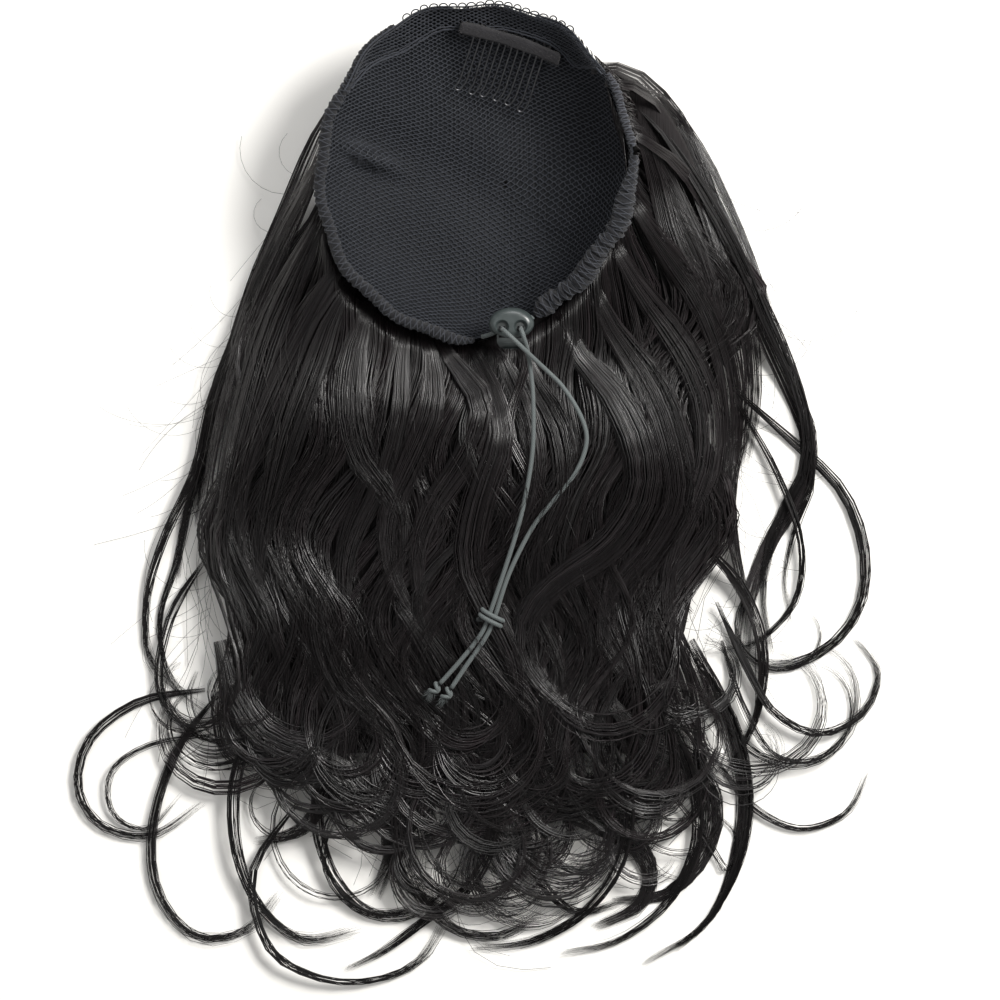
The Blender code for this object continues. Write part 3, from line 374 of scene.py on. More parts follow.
@dataclass(frozen=True)
class SyntheticFibre:
    """Synthetic hair fibre: near black, with a sharp grey sheen along each bend."""

    name: str = "synthetic hair fibre"
    dark: str = "090708"
    light: str = "221c1e"
    roughness: float = 0.25
    specular: float = 0.58

    def make(self) -> bpy.types.Material:
        """Builds the finish: each strand carries its own tone, so bundles read as thousands of fibres."""
        material, tree, shader = new_material(self.name)
        tone = add_node(tree, "ShaderNodeAttribute", attribute_name="tone").outputs["Fac"]
        link_tint(tree, shader, tone, self.dark, self.light)
        link_roughness(tree, shader, tone, self.roughness + 0.2, self.roughness - 0.03)
        set_inputs(shader, {"IOR": 1.5, "Specular IOR Level": self.specular})
        return material


@dataclass(frozen=True)
class FibreBacking:
    """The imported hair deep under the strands: black, combed one way."""

    name: str = "packed hair fibre"
    dark: str = "0a0809"
    light: str = "1f1b1c"
    fibre: float = 0.7 * MM

    def make(self) -> bpy.types.Material:
        """Builds the finish: long thin streaks with a low bump."""
        material, tree, shader = new_material(self.name)
        lie = (1 / self.fibre, 1 / (60 * self.fibre), 1 / (20 * self.fibre))
        noise = add_noise(tree, coordinates(tree, Mapping.OBJECT, lie), 3.0)
        link_tint(tree, shader, noise, self.dark, self.light)
        link_bump(tree, shader, noise, 0.8, 1.0 * MM)
        set_inputs(shader, {"Roughness": 0.7, "Specular IOR Level": 0.2})
        return material


@dataclass(frozen=True)
class PaleTable:
    """A white painted board: flat, slightly warm, with the faintest unevenness."""

    name: str = "white painted board"
    base: str = "f4f2ee"
    worn: str = "f8f7f4"

    def make(self) -> bpy.types.Material:
        """Builds the finish."""
        material, tree, shader = new_material(self.name)
        noise = add_noise(tree, coordinates(tree, Mapping.OBJECT, (9.0, 9.0, 9.0)), 2.0)
        link_tint(tree, shader, noise, self.base, self.worn)
        set_inputs(shader, {"Roughness": 0.75})
        return material


class MeshPile:
    """Gathers tubes and sheets into one mesh, and keeps each vertex's UV and tone."""

    def __init__(self) -> None:
        """Starts an empty pile."""
        self.points: list = []
        self.loops: list = []
        self.sizes: list = []
        self.uvs: list = []
        self.tones: list = []
        self.count = 0

    def add(self, points: np.ndarray, faces: np.ndarray, uvs: np.ndarray, tone: float = 0.5) -> None:
        """Adds faces of one size.

        Args:
            points: vertex places.
            faces: rows of vertex numbers within these points.
            uvs: one U and V for each corner of each face.
            tone: the strand's own tone.
        """
        self.points.append(points)
        self.loops.append((faces + self.count).ravel())
        self.sizes.append(np.full(len(faces), faces.shape[1]))
        self.uvs.append(uvs.reshape(-1, 2))
        self.tones.append(np.full(len(points), tone))
        self.count += len(points)

    def tube(self, line: np.ndarray, radius, sides: int = 4, tone: float = 0.5, flat: float = 1.0) -> None:
        """Adds one closed tube along a line.

        Args:
            line: the middle line's points.
            radius: one radius, or one for each point.
            sides: corners of the section.
            tone: the strand's own tone.
            flat: the section's height as a share of its width.
        """
        count = len(line)
        radii = np.broadcast_to(np.asarray(radius, float), (count,))
        ahead = np.gradient(line, axis=0)
        ahead /= np.linalg.norm(ahead, axis=1, keepdims=True) + 1e-12
        up = np.where(np.abs(ahead[:, 2:3]) > 0.93, np.array([[1.0, 0, 0]]), np.array([[0, 0, 1.0]]))
        side = np.cross(ahead, up)
        side /= np.linalg.norm(side, axis=1, keepdims=True) + 1e-12
        rise = np.cross(side, ahead)
        angles = np.arange(sides) * TURN / sides
        ring = (
            line[:, None, :]
            + radii[:, None, None] * np.cos(angles)[None, :, None] * side[:, None, :]
            + flat * radii[:, None, None] * np.sin(angles)[None, :, None] * rise[:, None, :]
        )
        i, k = np.meshgrid(np.arange(count - 1), np.arange(sides), indexing="ij")
        following = (k + 1) % sides
        quads = np.stack(
            [i * sides + k, (i + 1) * sides + k, (i + 1) * sides + following, i * sides + following], -1
        ).reshape(-1, 4)
        runs = np.concatenate([[0], np.cumsum(np.linalg.norm(np.diff(line, axis=0), axis=1))])
        u0, u1 = k / sides, (k + 1) / sides
        corners = ((u0, runs[i]), (u0, runs[i + 1]), (u1, runs[i + 1]), (u1, runs[i]))
        uvs = np.stack([np.stack(corner, -1) for corner in corners], 2)
        start = self.count
        self.add(ring.reshape(-1, 3), quads, uvs, tone)
        first = np.arange(sides)[None, :] + start
        last = (np.arange(sides)[::-1] + (count - 1) * sides)[None, :] + start
        for cap in (first, last):
            self.loops.append(cap.ravel())
            self.sizes.append(np.array([sides]))
            self.uvs.append(np.zeros((sides, 2)))

    def make(self, name: str, material: bpy.types.Material) -> bpy.types.Object:
        """Builds the object.

        Args:
            name: the piece's name.
            material: its finish.

        Returns:
            The new object, linked to the scene.
        """
        points = np.concatenate(self.points).astype(np.float32)
        loops = np.concatenate(self.loops).astype(np.int32)
        sizes = np.concatenate(self.sizes).astype(np.int32)
        mesh = bpy.data.meshes.new(name)
        mesh.vertices.add(len(points))
        mesh.vertices.foreach_set("co", points.ravel())
        mesh.loops.add(len(loops))
        mesh.loops.foreach_set("vertex_index", loops)
        mesh.polygons.add(len(sizes))
        mesh.polygons.foreach_set("loop_start", np.concatenate([[0], np.cumsum(sizes)[:-1]]).astype(np.int32))
        mesh.polygons.foreach_set("loop_total", sizes)
        mesh.update(calc_edges=True)
        layer = mesh.uv_layers.new(name="UVMap")
        layer.data.foreach_set("uv", np.concatenate(self.uvs).astype(np.float32).ravel())
        tone = mesh.attributes.new("tone", "FLOAT", "POINT")
        tone.data.foreach_set("value", np.concatenate(self.tones).astype(np.float32))
        mesh.materials.append(material)
        mesh.shade_smooth()
        piece = bpy.data.objects.new(name, mesh)
        bpy.context.scene.collection.objects.link(piece)
        return piece


def grid_faces(rows: int, columns: int, closed: bool = False) -> np.ndarray:
    """The quads of a grid of vertices, row by row."""
    i, k = np.meshgrid(np.arange(rows - 1), np.arange(columns if closed else columns - 1), indexing="ij")
    following = (k + 1) % columns
    near, far = i * columns, (i + 1) * columns
    return np.stack([near + k, near + following, far + following, far + k], -1).reshape(-1, 4)


@dataclass(frozen=True)
class Bowl:
    """The shape of the net cap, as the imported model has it."""

    width: float = 135 * MM
    length: float = 146 * MM
    centre: tuple = (1 * MM, 138 * MM)
    floor: float = 13 * MM
    top: float = 60 * MM
    pole_shift: tuple = (11 * MM, -4 * MM)
    wall: float = 1.2 * MM
    roundness: float = 2.2
    gathers: int = 14
    gather_depth: float = 0.7 * MM
    arc_degrees: float = 3.0
    arc_points: int = 81
    reach: tuple = (0.950, 0.970, 1.000, 0.980, 1.020, 0.990, 1.000, 1.000, 0.970, 0.955, 0.870, 0.880)
    height: tuple = (1.00, 0.95, 0.86, 0.80, 0.80, 0.80, 0.80, 0.77, 0.71, 0.66, 0.74, 0.93)
    steepness: tuple = (0.55, 0.60, 0.75, 0.85, 0.85, 0.75, 0.70, 0.70, 0.65, 0.60, 0.55, 0.55)
    cover: tuple = (1.00, 0.80, 0.50, 0.35, 0.35, 0.35, 0.60, 0.90, 1.00, 1.00, 1.00, 1.00)

    def around(self, column: tuple, degrees: np.ndarray) -> np.ndarray:
        """Reads one of the rim's columns smoothly at any angle."""
        values = np.asarray(column)
        count = len(values)
        place = (np.asarray(degrees, float) / 360 * count) % count
        first = np.floor(place).astype(int) % count
        share = place - np.floor(place)
        return hermite(share, *(values[(first + step) % count] for step in (-1, 0, 1, 2)))

    def rim(self, degrees, grow=0.0, drop=0.0) -> np.ndarray:
        """Points of the net's top edge, moved outwards by grow and down by drop."""
        angle = np.radians(np.asarray(degrees, float))
        reach = self.around(self.reach, degrees)
        gather = self.gather_depth * np.sin(self.gathers * angle)
        x = self.centre[0] + (self.width / 2 * reach + grow + gather) * np.cos(angle)
        y = self.centre[1] + (self.length / 2 * reach + grow + gather) * np.sin(angle)
        z = self.top * self.around(self.height, degrees) - drop
        return np.stack(np.broadcast_arrays(x, y, z), -1)

    def point(self, degrees, share, grow=0.0, drop=0.0) -> np.ndarray:
        """Points of the bowl: share runs from 0 at its deepest point to 1 at the rim."""
        share = np.asarray(share, float)
        pole = np.stack(
            np.broadcast_arrays(
                self.centre[0] + self.pole_shift[0],
                self.centre[1] + self.pole_shift[1],
                self.floor + self.wall - np.asarray(grow, float),
            ),
            -1,
        )
        rim = self.rim(degrees, grow, drop)
        held = np.clip(share, 0, 1)
        climb = 1 - (1 - held**self.roundness) ** self.around(self.steepness, degrees)
        out = pole + (rim - pole) * share[..., None]
        out[..., 2] = pole[..., 2] + (rim[..., 2] - pole[..., 2]) * climb
        out[..., 2] += self.folds(out[..., 0], out[..., 1]) * (1 - held**8)
        return out

    def folds(self, x: np.ndarray, y: np.ndarray) -> np.ndarray:
        """How far the dent and the soft folds of the slack net stand into the bowl."""
        turn = math.radians(-22)
        dx, dy = x + 47 * MM, y - 145 * MM
        along = dx * math.cos(turn) + dy * math.sin(turn)
        across = dy * math.cos(turn) - dx * math.sin(turn)
        dent = 10.0 * MM * np.exp(-((along / (11 * MM)) ** 2) - (across / (2.7 * MM)) ** 2)
        dent -= 1.2 * MM * np.exp(-((along / (13 * MM)) ** 2) - ((across + 6 * MM) / (3.4 * MM)) ** 2)
        ripple = 0.9 * MM * np.sin(y / (7.5 * MM) + 1.4 * np.sin(x / (23 * MM)) + x / (40 * MM))
        return dent + ripple

    def place(self, x: np.ndarray, y: np.ndarray) -> tuple:
        """Finds where a place seen from above lies on the bowl.

        Returns:
            The rim angle in degrees and the share of the way out.
        """
        table = np.arange(0, 361, 2.0)
        rim = self.rim(table)
        px, py = self.centre[0] + self.pole_shift[0], self.centre[1] + self.pole_shift[1]
        heading = np.unwrap(np.arctan2(rim[:, 1] - py, rim[:, 0] - px))
        wanted = np.arctan2(np.asarray(y) - py, np.asarray(x) - px)
        wanted = (wanted - heading[0]) % TURN + heading[0]
        degrees = np.interp(wanted, heading, table)
        edge = self.rim(degrees)
        far = np.hypot(edge[..., 0] - px, edge[..., 1] - py)
        return degrees, np.hypot(np.asarray(x) - px, np.asarray(y) - py) / far

    def height_at(self, x, y, grow: float = 0.0) -> np.ndarray:
        """The bowl's height at a place seen from above."""
        degrees, share = self.place(x, y)
        return self.point(degrees, np.clip(share, 0, 1), grow)[..., 2]

    @cached_property
    def arcs(self) -> np.ndarray:
        """The lengths along the bowl from its deepest point outwards, a row for every few degrees."""
        degrees = np.arange(0, 361, self.arc_degrees)
        grid = self.point(degrees[:, None], np.linspace(0, 1, self.arc_points)[None, :])
        steps = np.linalg.norm(np.diff(grid, axis=1), axis=2)
        return np.concatenate([np.zeros((len(degrees), 1)), np.cumsum(steps, axis=1)], axis=1)

    def flat_map(self, u: np.ndarray, v: np.ndarray, grow: float, over: float = 0.0) -> tuple:
        """Lays the net's flat pattern on the bowl, keeping lengths from the deepest point outwards.

        Args:
            u: flat place to the right, in metres.
            v: flat place upwards, in metres.
            grow: how far outside the net's inner face it lies.
            over: how far the net goes past the rim, straight up.

        Returns:
            The points, and whether each is on the net.
        """
        angle = np.degrees(np.arctan2(v, u)) % 360
        distance = np.hypot(u, v)
        row = angle / self.arc_degrees
        low = np.floor(row).astype(int) % int(360 / self.arc_degrees)
        mix = row - np.floor(row)
        total = self.arcs[low, -1] * (1 - mix) + self.arcs[low + 1, -1] * mix
        shares = np.linspace(0, 1, self.arc_points)
        share = np.empty_like(distance)
        for i, (d, r, m) in enumerate(zip(distance, low, mix)):
            share[i] = np.interp(d, self.arcs[r] * (1 - m) + self.arcs[r + 1] * m, shares)
        points = self.point(angle, share, grow)
        past = np.clip(distance - total, 0, over)
        points[:, 2] += past
        return points, distance <= total + over


@dataclass
class Studio:
    """The pale table, the soft lights and the camera over the middle of the photograph."""

    distance: float = 6.0
    frame_width: float = 0.43
    sensor: float = 36.0
    centre_px: tuple = (500.0, 500.0)
    aim: tuple = (0.0, 0.0, 0.03)
    lights: tuple = (
        ("key", (0.78, 0.56, 1.1), 0.6, 28.0, (1.0, 0.985, 0.96)),
        ("fill", (-0.8, 0.1, 1.6), 1.2, 3.5, (0.97, 0.98, 1.0)),
        ("strip", (0.1, 0.95, 0.75), 0.45, 4.0, (1.0, 1.0, 1.0)),
    )
    room_colour: str = "fbfaf8"
    room_strength: float = 0.38

    def build(self) -> None:
        """Makes the camera, the table, the lights and the room's light."""
        centre = from_pixels([self.centre_px])[0]
        camera = bpy.data.cameras.new("camera")
        camera.lens = self.sensor * self.distance / self.frame_width
        camera.sensor_width = self.sensor
        camera.clip_start = 0.1
        camera.clip_end = 60
        holder = bpy.data.objects.new("camera", camera)
        holder.location = (centre[0], centre[1], self.distance)
        bpy.context.scene.collection.objects.link(holder)
        bpy.context.scene.camera = holder
        deselect()
        bpy.ops.mesh.primitive_plane_add(size=7, location=(0, 0, -0.0004))
        floor = bpy.context.object
        floor.name = "table_top"
        floor.data.materials.append(PaleTable().make())
        for row in self.lights:
            self.light(*row)
        world = bpy.data.worlds.new("room")
        bpy.context.scene.world = world
        world.use_nodes = True
        background = world.node_tree.nodes["Background"]
        background.inputs["Color"].default_value = linear(self.room_colour)
        background.inputs["Strength"].default_value = self.room_strength
        bpy.context.scene.view_settings.view_transform = "Standard"

    def light(self, name: str, place: tuple, size: float, power: float, colour: tuple) -> None:
        """Adds one soft box that looks at the hairpiece."""
        lamp = bpy.data.lights.new(name, "AREA")
        lamp.shape = "DISK"
        lamp.size = size
        lamp.energy = power
        lamp.color = colour
        holder = bpy.data.objects.new(name, lamp)
        holder.location = place
        aim = Vector(self.aim) - Vector(place)
        holder.rotation_euler = aim.to_track_quat("-Z", "Y").to_euler()
        bpy.context.scene.collection.objects.link(holder)


def deselect() -> None:
    """Clears the selection."""
    if bpy.context.object and bpy.context.object.mode != "OBJECT":
        bpy.ops.object.mode_set(mode="OBJECT")
    bpy.ops.object.select_all(action="DESELECT")


def select_only(piece: bpy.types.Object) -> None:
    """Makes a piece the only one selected, and the active one."""
    deselect()
    piece.select_set(True)
    bpy.context.view_layer.objects.active = piece


def settle(piece: bpy.types.Object) -> bpy.types.Object:
    """Puts a piece's place into its mesh."""
    select_only(piece)
    bpy.ops.object.transform_apply(location=True, rotation=True, scale=True)
    return piece


def apply_modifiers(piece: bpy.types.Object) -> None:
    """Applies all of a piece's modifiers in order."""
    select_only(piece)
    for modifier in list(piece.modifiers):
        bpy.ops.object.modifier_apply(modifier=modifier.name)


def dress(piece: bpy.types.Object, body: str, slot: str, *nodes: str) -> bpy.types.Object:
    """Rides a piece on its body and hides the imported nodes that it stands for."""
    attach(piece, body)
    if nodes:
        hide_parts(*nodes)
    triangles = sum(len(face.vertices) - 2 for face in piece.data.polygons)
    LOG.info("%s: %d triangles on %s", piece.name, triangles, body)
    return piece


@dataclass
class Drawstring:
    """The two elastic cords, the wrap that ties them and the frayed knots at their ends."""

    radius: float = 0.95 * MM
    wrap_at: tuple = (5.6, -52.1, 32.6)
    wrap_turns: int = 2
    wrap_half_width: float = 5.0 * MM
    wrap_pitch: float = 2.5 * MM
    wrap_between: tuple = (18, 21)
    gap: float = 0.6 * MM
    knot_reach: float = 3.2 * MM
    frays: int = 46
    front: tuple = (
        (1.7, 68.4, 40.9), (5.0, 69.3, 42.4), (8.4, 70.9, 44.0), (10.2, 71.6, 46.2), (10.3, 71.6, 50.0),
        (10.3, 71.7, 54.4), (11.5, 70.6, 57.9), (14.6, 67.8, 58.8), (18.4, 64.2, 57.2), (22.2, 60.6, 53.8),
        (26.4, 56.7, 50.2), (30.6, 52.8, 47.6), (36.0, 47.3, 46.4), (42.2, 38.0, 45.8), (46.0, 28.8, 44.8),
        (46.1, 21.5, 43.9), (42.6, 12.0, 42.8), (35.3, 2.0, 41.4), (24.0, -12.0, 39.4), (13.9, -31.4, 36.2),
        (7.8, -49.5, 33.0), (5.7, -55.4, 32.0), (2.2, -61.8, 31.0), (-4.8, -71.9, 29.4),
        (-11.4, -81.8, 27.8),
    )
    back: tuple = (
        (23.6, 77.0, 43.4), (21.4, 74.6, 43.3), (19.2, 72.7, 44.0), (18.4, 71.8, 46.4), (18.3, 71.65, 50.0),
        (18.3, 71.9, 54.0), (18.6, 71.1, 56.6), (19.6, 68.0, 56.6), (20.7, 64.3, 53.9), (21.6, 60.6, 50.4),
        (22.5, 54.5, 47.2), (23.6, 41.7, 46.0), (23.4, 20.2, 44.0), (20.0, -1.3, 41.2), (16.4, -15.5, 39.0),
        (11.6, -30.6, 36.3), (5.5, -48.7, 33.1), (3.4, -54.6, 32.1), (0.0, -60.6, 31.1),
        (-8.0, -70.6, 29.4),
        (-16.2, -79.8, 27.8),
    )

    def route(self, points: tuple) -> np.ndarray:
        """A cord's middle line at about 1.5 mm a step."""
        return catmull(np.asarray(points) * MM, 140)

    def build(self) -> None:
        """Makes both cords, the wrap and the end knots."""
        elastic = BraidedElastic().make()
        lines = {"front": self.route(self.front), "back": self.route(self.back)}
        knots = {name: self.end_knot(name, line, elastic) for name, line in lines.items()}
        wrap = self.wrap(elastic)
        for name, line in lines.items():
            pile = MeshPile()
            pile.tube(line, self.radius, 14)
            piece = dress(pile.make(f"elastic_{name}", elastic), ROOT, "elastic", f"cord_{name}")

    def wrap(self, elastic: bpy.types.Material) -> bpy.types.Object:
        """Two turns of cord round both strands."""
        middle = np.asarray(self.wrap_at) * MM
        before, after = (np.asarray(self.front[row]) for row in self.wrap_between)
        onwards = unit(after - before)
        side, rise = section_axes(onwards)
        half_height = 2 * self.radius + self.gap
        turn = np.linspace(0, TURN * self.wrap_turns, 90)[:, None]
        shift = (np.linspace(-0.5, 0.5, 90) * self.wrap_pitch * self.wrap_turns)[:, None]
        around = side * self.wrap_half_width * np.cos(turn) + rise * half_height * np.sin(turn)
        line = middle + onwards * shift + around
        pile = MeshPile()
        pile.tube(line, self.radius, 14)
        return dress(pile.make("elastic_wrap", elastic), ROOT, "elastic", "cord_knot")

    def end_knot(self, name: str, line: np.ndarray, elastic: bpy.types.Material) -> bpy.types.Object:
        """An overhand knot of the cord with a frayed tail."""
        onwards = unit(line[-1] - line[-3])
        side, rise = section_axes(onwards)
        centre = line[-1] + onwards * self.knot_reach
        turn = np.linspace(0.0, 2.6 * TURN, 80)[:, None]
        loops = side * 1.5 * np.sin(turn) + rise * 1.25 * np.cos(turn)
        loops = loops + onwards * 2.0 * np.sin(turn * 0.5 + 0.6)
        pile = MeshPile()
        pile.tube(centre + loops * MM, 0.82 * MM, 10)
        rng = np.random.default_rng(11 if name == "front" else 12)
        for _ in range(self.frays):
            spread = rng.normal(0, 0.75, 3) * MM
            tip = centre + onwards * rng.uniform(3.0, 6.4) * MM + spread * 1.6
            start = centre + onwards * 1.6 * MM + spread * 0.5
            middle = (start + tip) / 2 + rng.normal(0, 0.5, 3) * MM
            pile.tube(catmull(np.stack([start, middle, tip]), 7), np.linspace(0.16, 0.05, 7) * MM, 3)
        return dress(pile.make(f"frayed_knot_{name}", elastic), ROOT, "elastic", f"end_knot_{name}")


@dataclass
class NetCap:
    """The bowl of knotted net with its doubled front hem, and the dark wefts right behind it."""

    bowl: Bowl
    cell: tuple = (4.2 * MM, 2.1 * MM)
    slant: float = math.radians(-5)
    thread: float = 0.215 * MM
    shared: float = 0.28 * MM
    reach: float = 98 * MM
    hem_from: float = 37.0
    hem_to: float = 151.0
    hem_wide: float = 0.115
    hem_rise: float = 3.4 * MM
    hem_layer: float = -0.7 * MM
    slack: float = 1.5 * MM
    backing: tuple = (1.05 * MM, 1.6 * MM)
    loops: int = 19
    loops_between: tuple = (56.0, 117.0)

    def knots(self, shift: tuple, seed: int) -> np.ndarray:
        """Where the threads meet in the flat net.

        Args:
            shift: how far this layer is moved, as shares of the cell.
            seed: for the small unevenness.

        Returns:
            Rows by columns by u and v, in metres.
        """
        rng = np.random.default_rng(seed)
        a, b = self.cell[0] / 2, self.cell[1] / 2
        count = int(self.reach / 2 * (1 / a + 1 / b))
        i, j = np.meshgrid(np.arange(-count, count + 1), np.arange(-count, count + 1), indexing="ij")
        u = (i + j + shift[0]) * a
        v = (i - j + shift[1]) * b
        drift_u = self.slack * np.sin(v / (17 * MM))
        drift_v = self.slack * np.sin(u / (13 * MM) + v / (29 * MM))
        flat = np.stack([u + drift_u, v + drift_v], -1)
        flat += rng.normal(0, 0.14 * MM, flat.shape)
        c, s = math.cos(self.slant), math.sin(self.slant)
        return flat @ np.array([[c, s], [-s, c]])

    def threads(
        self, pile: MeshPile, flat: np.ndarray, family: int, grow: float, keep: Callable, over: float
    ) -> None:
        """Adds the threads that run one way; two threads share a short run at each knot.

        Args:
            pile: where the tubes go.
            flat: the knots.
            family: 0 or 1, which way the threads run.
            grow: how far outside the net's inner face they lie.
            keep: tells from places on the bowl which belong.
            over: how far the net may go past the rim.
        """
        grid = flat.transpose(1, 0, 2) if family == 0 else flat
        sense = 1 if family == 0 else -1
        share = np.array([[-self.shared, sense * 0.09 * MM], [self.shared, sense * 0.09 * MM]])
        runs = (grid[:, :, None, :] + share[None, None]).reshape(len(grid), -1, 2)
        near = np.hypot(runs[..., 0], runs[..., 1]) < self.reach
        rng = np.random.default_rng(family + 40)
        for line, close in zip(runs, near):
            if close.sum() < 4:
                continue
            line = line[close]
            points, on = self.bowl.flat_map(line[:, 0], line[:, 1], grow, over)
            on &= keep(points)
            points[:, 2] += sense * 0.07 * MM
            edges = np.flatnonzero(np.diff(np.concatenate([[0], on.astype(int), [0]])))
            for start, end in zip(edges[::2], edges[1::2]):
                if end - start >= 3:
                    swell = self.thread * (1 + 0.14 * rng.standard_normal(end - start).clip(-1.5, 1.5))
                    pile.tube(points[start:end], swell, 3, 0.5)

    def hem_edge(self, degrees: np.ndarray) -> np.ndarray:
        """How far out the hem's fold lies, as a share of the way to the rim; the ends run out to nothing."""
        ends = smoothstep((degrees - self.hem_from) / 12) * smoothstep((self.hem_to - degrees) / 26)
        return 1 - self.hem_wide * ends + 0.006 * np.sin(degrees / 5)

    def in_hem(self, points: np.ndarray) -> np.ndarray:
        """Which points lie on the hem."""
        degrees, share = self.bowl.place(points[:, 0], points[:, 1])
        return (degrees > self.hem_from) & (degrees < self.hem_to) & (share > self.hem_edge(degrees))

    def build(self) -> None:
        """Makes the net, the hem and the backing."""
        thread = SpunThread().make()
        flat = self.knots((0, 0), 3)
        for family in (0, 1):
            pile = MeshPile()
            self.threads(pile, flat, family, 0.25 * MM, lambda points: np.ones(len(points), bool), 0.0)
            nodes = ("net_cap",) if family == 0 else ()
            dress(pile.make(f"net_threads_{'ab'[family]}", thread), ROOT, "net", *nodes)
        self.build_hem()
        self.build_backing()

    def build_hem(self) -> None:
        """The front edge of the net, folded over and stitched, with its open loops along the top."""
        pale = SpunThread(name="doubled net thread", dark="1c1d22", light="3c4049").make()
        pile = MeshPile()
        flat = self.knots((0.9, 0.4), 21)
        for family in (0, 1):
            self.threads(pile, flat, family, self.hem_layer, self.in_hem, self.hem_rise)
        degrees = np.linspace(self.hem_from, self.hem_to, 150)
        rng = np.random.default_rng(5)
        for inset, radius in ((0.0, 0.36 * MM), (0.014, 0.26 * MM)):
            wave = np.minimum(self.hem_edge(degrees) + inset + rng.normal(0, 0.0016, len(degrees)), 0.995)
            line = self.bowl.point(degrees, wave, -1.1 * MM)
            pile.tube(line, radius, 6)
        for lift, out in ((self.hem_rise, 0.2 * MM), (self.hem_rise * 0.5, 0.1 * MM)):
            line = self.bowl.rim(degrees, out)
            line[:, 2] += lift + 0.15 * MM * np.sin(degrees * 1.9)
            pile.tube(line, 0.27 * MM, 6)
        for angle in np.linspace(*self.loops_between, self.loops):
            self.open_loop(pile, angle, rng)
        dress(pile.make("hem_threads", pale), ROOT, "hem_net", "hem_band")

    def open_loop(self, pile: MeshPile, angle: float, rng: np.random.Generator) -> None:
        """One open loop of the net's selvedge, standing out from the folded edge."""
        base = self.bowl.rim(angle)
        ahead = unit(self.bowl.rim(angle + 1) - base)
        out = np.array([ahead[1], -ahead[0], 0.0])
        rise = 0.72 * out + np.array([0, 0, 0.69])
        half = 1.75 * MM * rng.uniform(0.9, 1.1)
        tall = 2.3 * MM * rng.uniform(0.85, 1.15)
        turn = np.linspace(0, math.pi, 11)[:, None]
        foot = base + np.array([0, 0, self.hem_rise])
        line = foot + ahead * half * np.cos(turn) + rise * tall * np.sin(turn) ** 0.8
        pile.tube(line, 0.33 * MM, 5)

    def build_backing(self) -> None:
        """The black wefts that back the net, seen between its threads."""
        rings = np.concatenate([[0.02], np.linspace(0.1, 0.985, 26)])
        degrees = np.arange(0, 360, 4.0)
        edge = 0.985 - 0.028 * smoothstep((degrees - 66) / 6) * smoothstep((102 - degrees) / 6)
        pile = MeshPile()
        for grow, flip in zip(self.backing, (False, True)):
            shares = rings[:, None] * np.minimum(1.0, edge[None, :] / 0.985)
            points = self.bowl.point(np.broadcast_to(degrees, shares.shape), shares, grow)
            faces = grid_faces(len(rings), len(degrees), closed=True)
            if flip:
                faces = faces[:, ::-1]
            pile.add(points.reshape(-1, 3), faces, np.zeros((len(faces), 4, 2)))
        weft = FibreBacking(name="sewn weft fibre", dark="0b0c0e", light="202227", fibre=0.9 * MM)
        dress(pile.make("weft_backing", weft.make()), ROOT, "hair")


